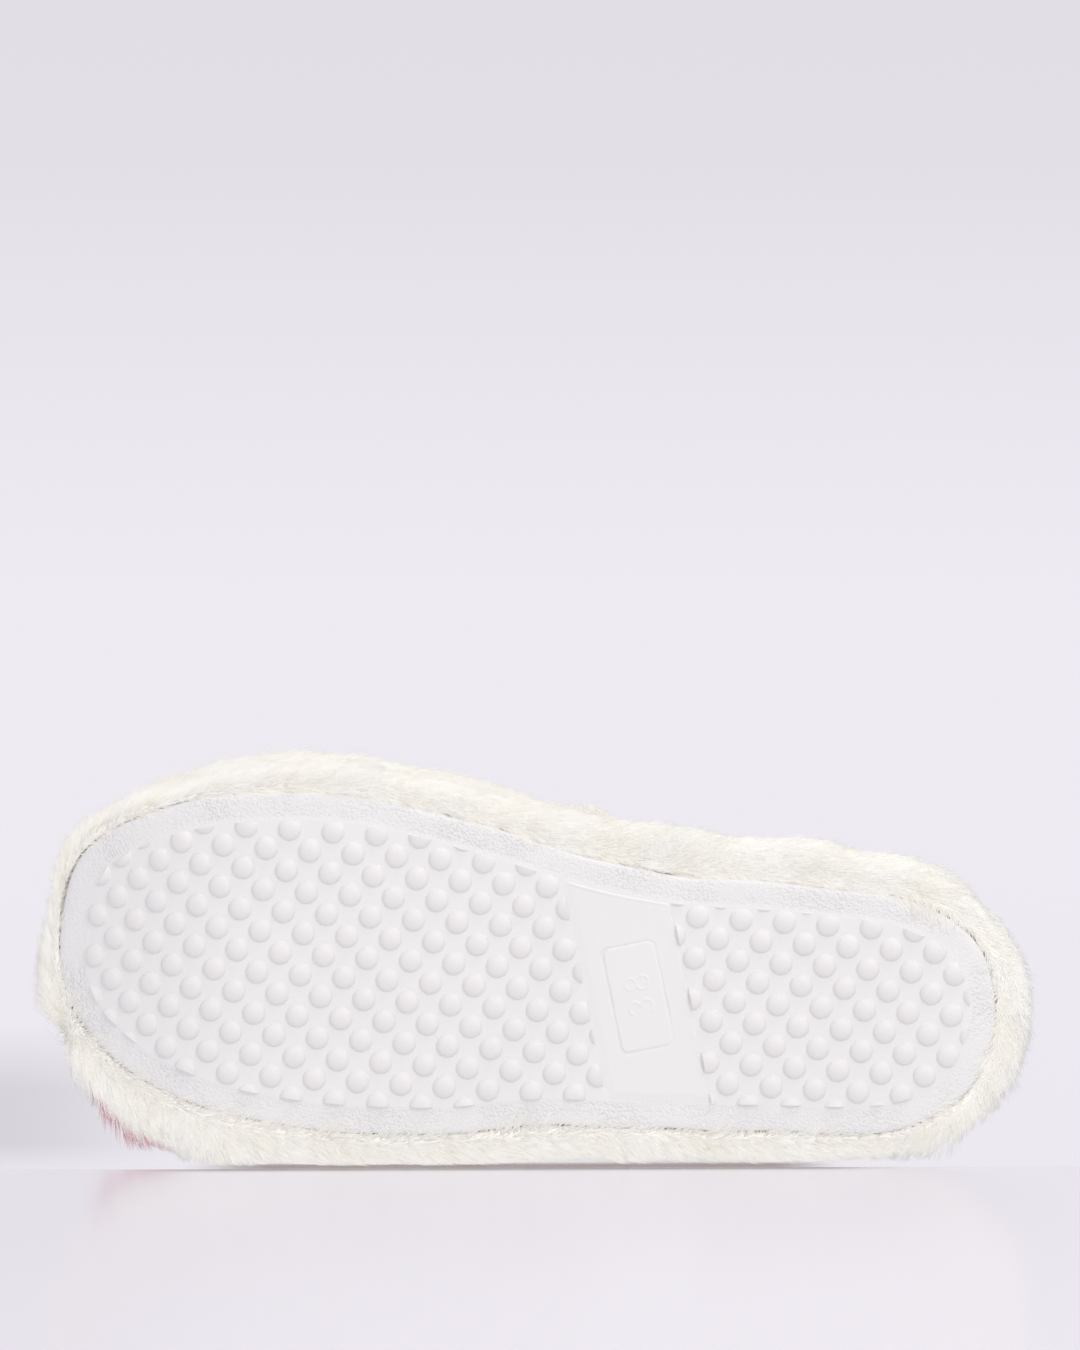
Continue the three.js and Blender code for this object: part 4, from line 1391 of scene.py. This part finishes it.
def dished(ring, part):
    """The footbed's top: crowned near the edge, worn a little hollow under heel and ball."""
    rise = 0.9 * math.sin(math.pi / 2 * min(1, part * 3))
    heel = 1.5 * np.exp(-((ring[:, 1] - 88) / 26) ** 2)
    ball = 1.1 * np.exp(-((ring[:, 1] + 40) / 30) ** 2)
    return rise - (heel + ball) * smooth(np.array(part) / 0.6) + ripple(ring, 20, 95) * 0.2


class SLIPPER_OT_footbed(bpy.types.Operator):
    """Build the padded plush footbed and its short nap"""
    bl_idname = "slipper.footbed"
    bl_label = "Build footbed"

    def execute(self, context):
        settings = context.scene.slipper_fur
        profile = [
            (-4.2, 23.75), (-3.7, 23.7), (-3.6, 23.2), (-3.6, 18.5), (-3.4, 18.4), (-0.8, 18.4),
            (-0.6, 18.7), (-0.6, 23.6), (-0.75, 24.6), (-1.3, 25.4), (-2.2, 26.0), (-3.6, 26.35),
            (-5.5, 26.5),
        ]
        cover = slab("footbed_cushion", profile, below=crown(0.45), above=dished)
        plush = cloth_material("footbed plush", settings, 520, 0.9)
        piece(cover, "cream_plush", plush, "footbed_cover")
        profile = [
            (-5, 18.4), (-4.3, 18.5), (-3.95, 18.9), (-3.95, 22.7), (-4.4, 23.2), (-6, 23.35),
        ]
        pad = slab("footbed_padding", profile, above=crown(0.4))
        piece(pad, "foam", foam_material(), "footbed_pad")
        rng = np.random.default_rng(400)
        count = settings.plush_strands * 3 // 8
        share = np.arange(RING_STEPS) / RING_STEPS
        parts = np.concatenate([[0], INWARD_SHARES, [0.999]])
        grid = np.stack([
            np.column_stack([ring, 26.45 + dished(ring, part) + lift(ring[:, 1])])
            for part in parts for ring in [inward_ring(share, -3.2, part)]
        ], 1)
        closed = np.concatenate([grid, grid[:1]])
        seen = (closed[:-1, :-1, 1] > TOE_Y + 85).astype(float) + 0.02
        material = fur_material("footbed nap", settings)
        for half in range(2):
            roots, facing, run, up, place = scatter(closed, count, rng, seen)
            facing = facing * np.sign(facing[:, 2:])
            comb = unit(lay(np.array([0.2, 0.7, 0]) + rng.normal(size=(count, 3)) * 0.5, facing))
            comb = turned(comb, facing, ripple(roots, 24, 96) * 0.9)
            length = rng.uniform(2.4, 4.2, count)
            nap = grow(
                f"footbed_nap_{half + 1}", FOOTBED_NAP, rng, (roots, facing, run, up, place), comb,
                length, (1.3, 0.7, 0.6))
            piece(nap, "cream_plush", material)
        return {"FINISHED"}


class SLIPPER_OT_inner(bpy.types.Operator):
    """Build the midsole and give the board and the threads their finish"""
    bl_idname = "slipper.inner"
    bl_label = "Build inner layers"

    def execute(self, context):
        profile = [
            (-2, 6.6), (-0.9, 6.65), (-0.4, 7.0), (-0.3, 7.6), (-0.3, 15.6), (-0.4, 16.2),
            (-0.9, 16.55), (-2, 16.6),
        ]
        midsole = slab("midsole_layer", profile)
        piece(midsole, "foam", foam_material(), "midsole_foam")
        finishes = {
            "insole_board": board_material(),
            "rim_seam_thread": thread_material(),
            "perimeter_thread": thread_material(),
        }
        for name, material in finishes.items():
            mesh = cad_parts[name].data
            mesh.materials.clear()
            mesh.materials.append(material)
        return {"FINISHED"}


# ---------------------------------------------------------------- stage

def area_light(name, place, aim, size, power, colour=(1, 1, 1)):
    """A round soft light that is turned to its aim."""
    light = bpy.data.lights.new(name, "AREA")
    light.shape = "DISK"
    light.size = size
    light.energy = power
    light.color = colour
    obj = add_to_scene(name, light)
    obj.location = place
    obj.rotation_mode = "QUATERNION"
    obj.rotation_quaternion = (aim - place).to_track_quat("-Z", "Y")
    return obj


def one_sided(material, opacity=None):
    """Makes a stage plane show from its front only, with an optional fade."""
    tree = material.node_tree
    shader = tree.nodes["Principled BSDF"]
    output = tree.nodes["Material Output"]
    clear = tree.nodes.new("ShaderNodeBsdfTransparent")
    side = tree.nodes.new("ShaderNodeNewGeometry")
    choose = tree.nodes.new("ShaderNodeMixShader")
    share = maths(tree, "SUBTRACT", 1.0, side.outputs["Backfacing"])
    if opacity is not None:
        share = maths(tree, "MULTIPLY", share, opacity)
    tree.links.new(share, choose.inputs[0])
    tree.links.new(clear.outputs[0], choose.inputs[1])
    tree.links.new(shader.outputs[0], choose.inputs[2])
    tree.links.new(choose.outputs[0], output.inputs["Surface"])


def stage_plane(name, corners, material):
    """A flat four-cornered part of the stage, which casts no light or shadow on the slipper."""
    mesh = bpy.data.meshes.new(name)
    mesh.from_pydata(corners, [], [(0, 1, 2, 3)])
    mesh.materials.append(material)
    obj = add_to_scene(name, mesh)
    obj.visible_shadow = False
    obj.visible_diffuse = False
    return obj


def within(tree, value, place, ends):
    """Fades a value out past two ends of a stretch."""
    for outside, inside in ends:
        value = maths(tree, "MULTIPLY", value, eased(tree, place, outside, inside))
    return value


FLOOR_REACH = 6.0
FLOOR_HEIGHT = -0.0005
LAID_TOP = -0.0007
LIP_LOW, LIP_HIGH = -0.0006, 0.012


class SLIPPER_OT_stage(bpy.types.Operator):
    """Set up the pale floors, the soft studio light and the camera"""
    bl_idname = "slipper.stage"
    bl_label = "Build stage"

    def execute(self, context):
        scene = context.scene
        settings = scene.slipper_stage
        turn, rise = settings.turn, settings.rise
        sky = Vector((math.cos(turn), -math.sin(turn), 0))
        right = Vector((math.sin(turn), math.cos(turn), 0))
        front = Vector((0, 0, -1))
        back = front * math.cos(rise) + sky * math.sin(rise)
        up = sky * math.cos(rise) - front * math.sin(rise)
        start = Vector((SHIFT[0], SHIFT[1] + VIEW_Y, SOLE_FACE)) * MM
        aim = start + up * 0.0814 + right * 0.00065
        camera = bpy.data.cameras.new("camera")
        camera.sensor_width = 36
        camera.lens = camera.sensor_width * settings.distance / settings.field
        camera.clip_end = 50
        viewer = add_to_scene("camera", camera)
        pose = Matrix((right, up, back)).transposed().to_4x4()
        pose.translation = aim + back * settings.distance
        viewer.matrix_world = pose
        scene.camera = viewer

        self.floors()
        self.studio(scene, settings, sky, right)
        middle = Vector((0, 0, 0.03))
        warm = (1, 0.983, 0.935)
        for name, offset, size, power, colour in (
            ("key light", sky + right * 0.8 + front * 1.6, 1.0, 9.3, warm),
            ("sky light", sky * 1.55 + right * 0.5 + front * 0.3, 0.9, 6, warm),
            ("front light", front * 1.5 - right * 0.6 + sky * 0.15, 1.0, 2.2, (1, 1, 1)),
        ):
            area_light(name, middle + offset, middle, size, power, colour)
        top = area_light("top light", Vector((0.5, 0.25, 1.25)), middle, 0.9, 3.0)
        top.visible_glossy = False
        scene.view_settings.view_transform = "Standard"
        return {"FINISHED"}

    def floors(self):
        """An upright floor under the slipper, and the glossy floor it is laid on its side, with a
        painted contact shadow.
        """
        pale, tree, shader = new_material("pale floor", {"Roughness": 0.7})
        finish_look(tree, shader, mottled(tree, 3, 2, (0.85, 0.83, 0.885), (0.87, 0.85, 0.905)))
        one_sided(pale)
        signs = ((-1, -1), (1, -1), (1, 1), (-1, 1))
        corners = [(x * FLOOR_REACH, y * FLOOR_REACH, FLOOR_HEIGHT) for x, y in signs]
        floor = stage_plane("floor", corners, pale)
        floor.visible_glossy = False
        floor.visible_transmission = False

        glossy, tree, shader = new_material(
            "glossy floor", {"Roughness": 0.2, "Specular IOR Level": 0.28})
        plain = mottled(tree, 2, 2, (0.76, 0.745, 0.79), (0.78, 0.765, 0.81))
        where = tree.nodes.new("ShaderNodeTexCoord")
        split = tree.nodes.new("ShaderNodeSeparateXYZ")
        tree.links.new(where.outputs["Object"], split.inputs[0])
        height, along = split.outputs["Z"], split.outputs["Y"]
        opacity = within(
            tree, eased(tree, height, LIP_HIGH, 0.004), along, ((-0.092, -0.065), (0.088, 0.065)))
        # Painted contact shadow: the glossy floor turns deep brown-grey close to where the laid
        # slipper touches it.
        painted_contact_shadow = maths(tree, "POWER", eased(tree, height, -0.010, -0.001, 0.98), 2.2)
        painted_contact_shadow = within(tree, painted_contact_shadow, along, ((-0.105, -0.075), (0.105, 0.075)))
        finish_look(tree, shader, mix(tree, painted_contact_shadow, plain, (0.17, 0.11, 0.125)))
        below = maths(tree, "LESS_THAN", height, LIP_LOW)
        one_sided(glossy, maths(tree, "MAXIMUM", opacity, below))
        touch = np.array([TOUCH_X - FLOOR_CLEAR, TOUCH_Y + VIEW_Y, 0.0]) + SHIFT
        along = Vector((PLANE_LEAN, 1, 0)).normalized()
        base = Vector(touch) * MM
        for name, low, high, first, last in (
            ("laid floor", -FLOOR_REACH, LAID_TOP, -FLOOR_REACH, FLOOR_REACH),
            ("laid lip", LIP_LOW, LIP_HIGH, -0.06, 0.17),
        ):
            near, far = base + Vector((0, 0, low)), base + Vector((0, 0, high))
            laid = stage_plane(name, [
                near + along * first, near + along * last, far + along * last, far + along * first,
            ], glossy)
            if laid.data.polygons[0].normal.x < 0:
                laid.data.flip_normals()

    def studio(self, scene, settings, sky, right):
        """A pale studio all round, darker high up behind the laid slipper, with a painted shadow of
        the slipper low past its toe.
        """
        world = bpy.data.worlds.new("studio")
        world.use_nodes = True
        tree = world.node_tree
        light = tree.nodes["Background"]
        where = tree.nodes.new("ShaderNodeTexCoord")

        def towards(way):
            found = node(tree, "ShaderNodeVectorMath", operation="DOT_PRODUCT")
            found.inputs[1].default_value = way
            tree.links.new(where.outputs["Generated"], found.inputs[0])
            return found.outputs["Value"]

        spread = node(tree, "ShaderNodeMapRange", **{"From Min": -0.2, "From Max": 0.05})
        tree.links.new(towards(sky), spread.inputs["Value"])
        height = spread.outputs["Result"]
        tone = tuple(settings.backdrop)
        levels = ((0.0, 0.97), (0.35, 1), (0.5, 1), (0.6, 0.965), (0.72, 0.9), (1.0, 0.865))
        shade = ramp(tree, height, *((at, shaded(tone, share)) for at, share in levels))
        # Painted shadow: a low band past the toe is darkened where the slipper's shadow falls on
        # the floor behind it.
        painted_shadow_band = ramp(
            tree, height, (0.0, 0.2), (0.195, 0.25), (0.207, 1.0), (0.235, 1.0), (0.268, 0.0))
        beside_toe = eased(tree, towards(right), -0.040, -0.072)
        dim = maths(tree, "MULTIPLY", maths(tree, "MULTIPLY", painted_shadow_band, beside_toe), 0.2)
        shade = mix(tree, dim, shade, (0.0, 0.0, 0.0))
        tree.links.new(shade, light.inputs["Color"])
        light.inputs["Strength"].default_value = 1.0
        scene.world = world


class SLIPPER_PT_panel(bpy.types.Panel):
    """The slipper's pieces and settings"""
    bl_idname = "SLIPPER_PT_panel"
    bl_label = "Slipper"
    bl_space_type = "VIEW_3D"
    bl_region_type = "UI"
    bl_category = "Slipper"

    def draw(self, context):
        layout = self.layout
        for group in ("slipper_sole", "slipper_fur", "slipper_stage"):
            settings = getattr(context.scene, group)
            box = layout.box()
            for name in settings.bl_rna.properties.keys():
                if name not in {"rna_type", "name"}:
                    box.prop(settings, name)
        for operator in OPERATORS:
            layout.operator(operator.bl_idname)


GROUPS = {
    "slipper_sole": SlipperSoleSettings,
    "slipper_fur": SlipperFurSettings,
    "slipper_stage": SlipperStageSettings,
}
OPERATORS = (
    SLIPPER_OT_outsole,
    SLIPPER_OT_rim,
    SLIPPER_OT_vamp,
    SLIPPER_OT_topline,
    SLIPPER_OT_footbed,
    SLIPPER_OT_inner,
    SLIPPER_OT_stage,
)


def register():
    for name, group in GROUPS.items():
        bpy.utils.register_class(group)
        setattr(bpy.types.Scene, name, PointerProperty(type=group))
    for cls in (*OPERATORS, SLIPPER_PT_panel):
        bpy.utils.register_class(cls)


def unregister():
    for cls in (SLIPPER_PT_panel, *reversed(OPERATORS)):
        bpy.utils.unregister_class(cls)
    for name, group in GROUPS.items():
        delattr(bpy.types.Scene, name)
        bpy.utils.unregister_class(group)


def main():
    register()
    bpy.ops.slipper.stage()
    bpy.ops.slipper.outsole()
    bpy.ops.slipper.rim()
    bpy.ops.slipper.vamp()
    bpy.ops.slipper.topline()
    bpy.ops.slipper.footbed()
    bpy.ops.slipper.inner()


if __name__ == "__main__":
    main()
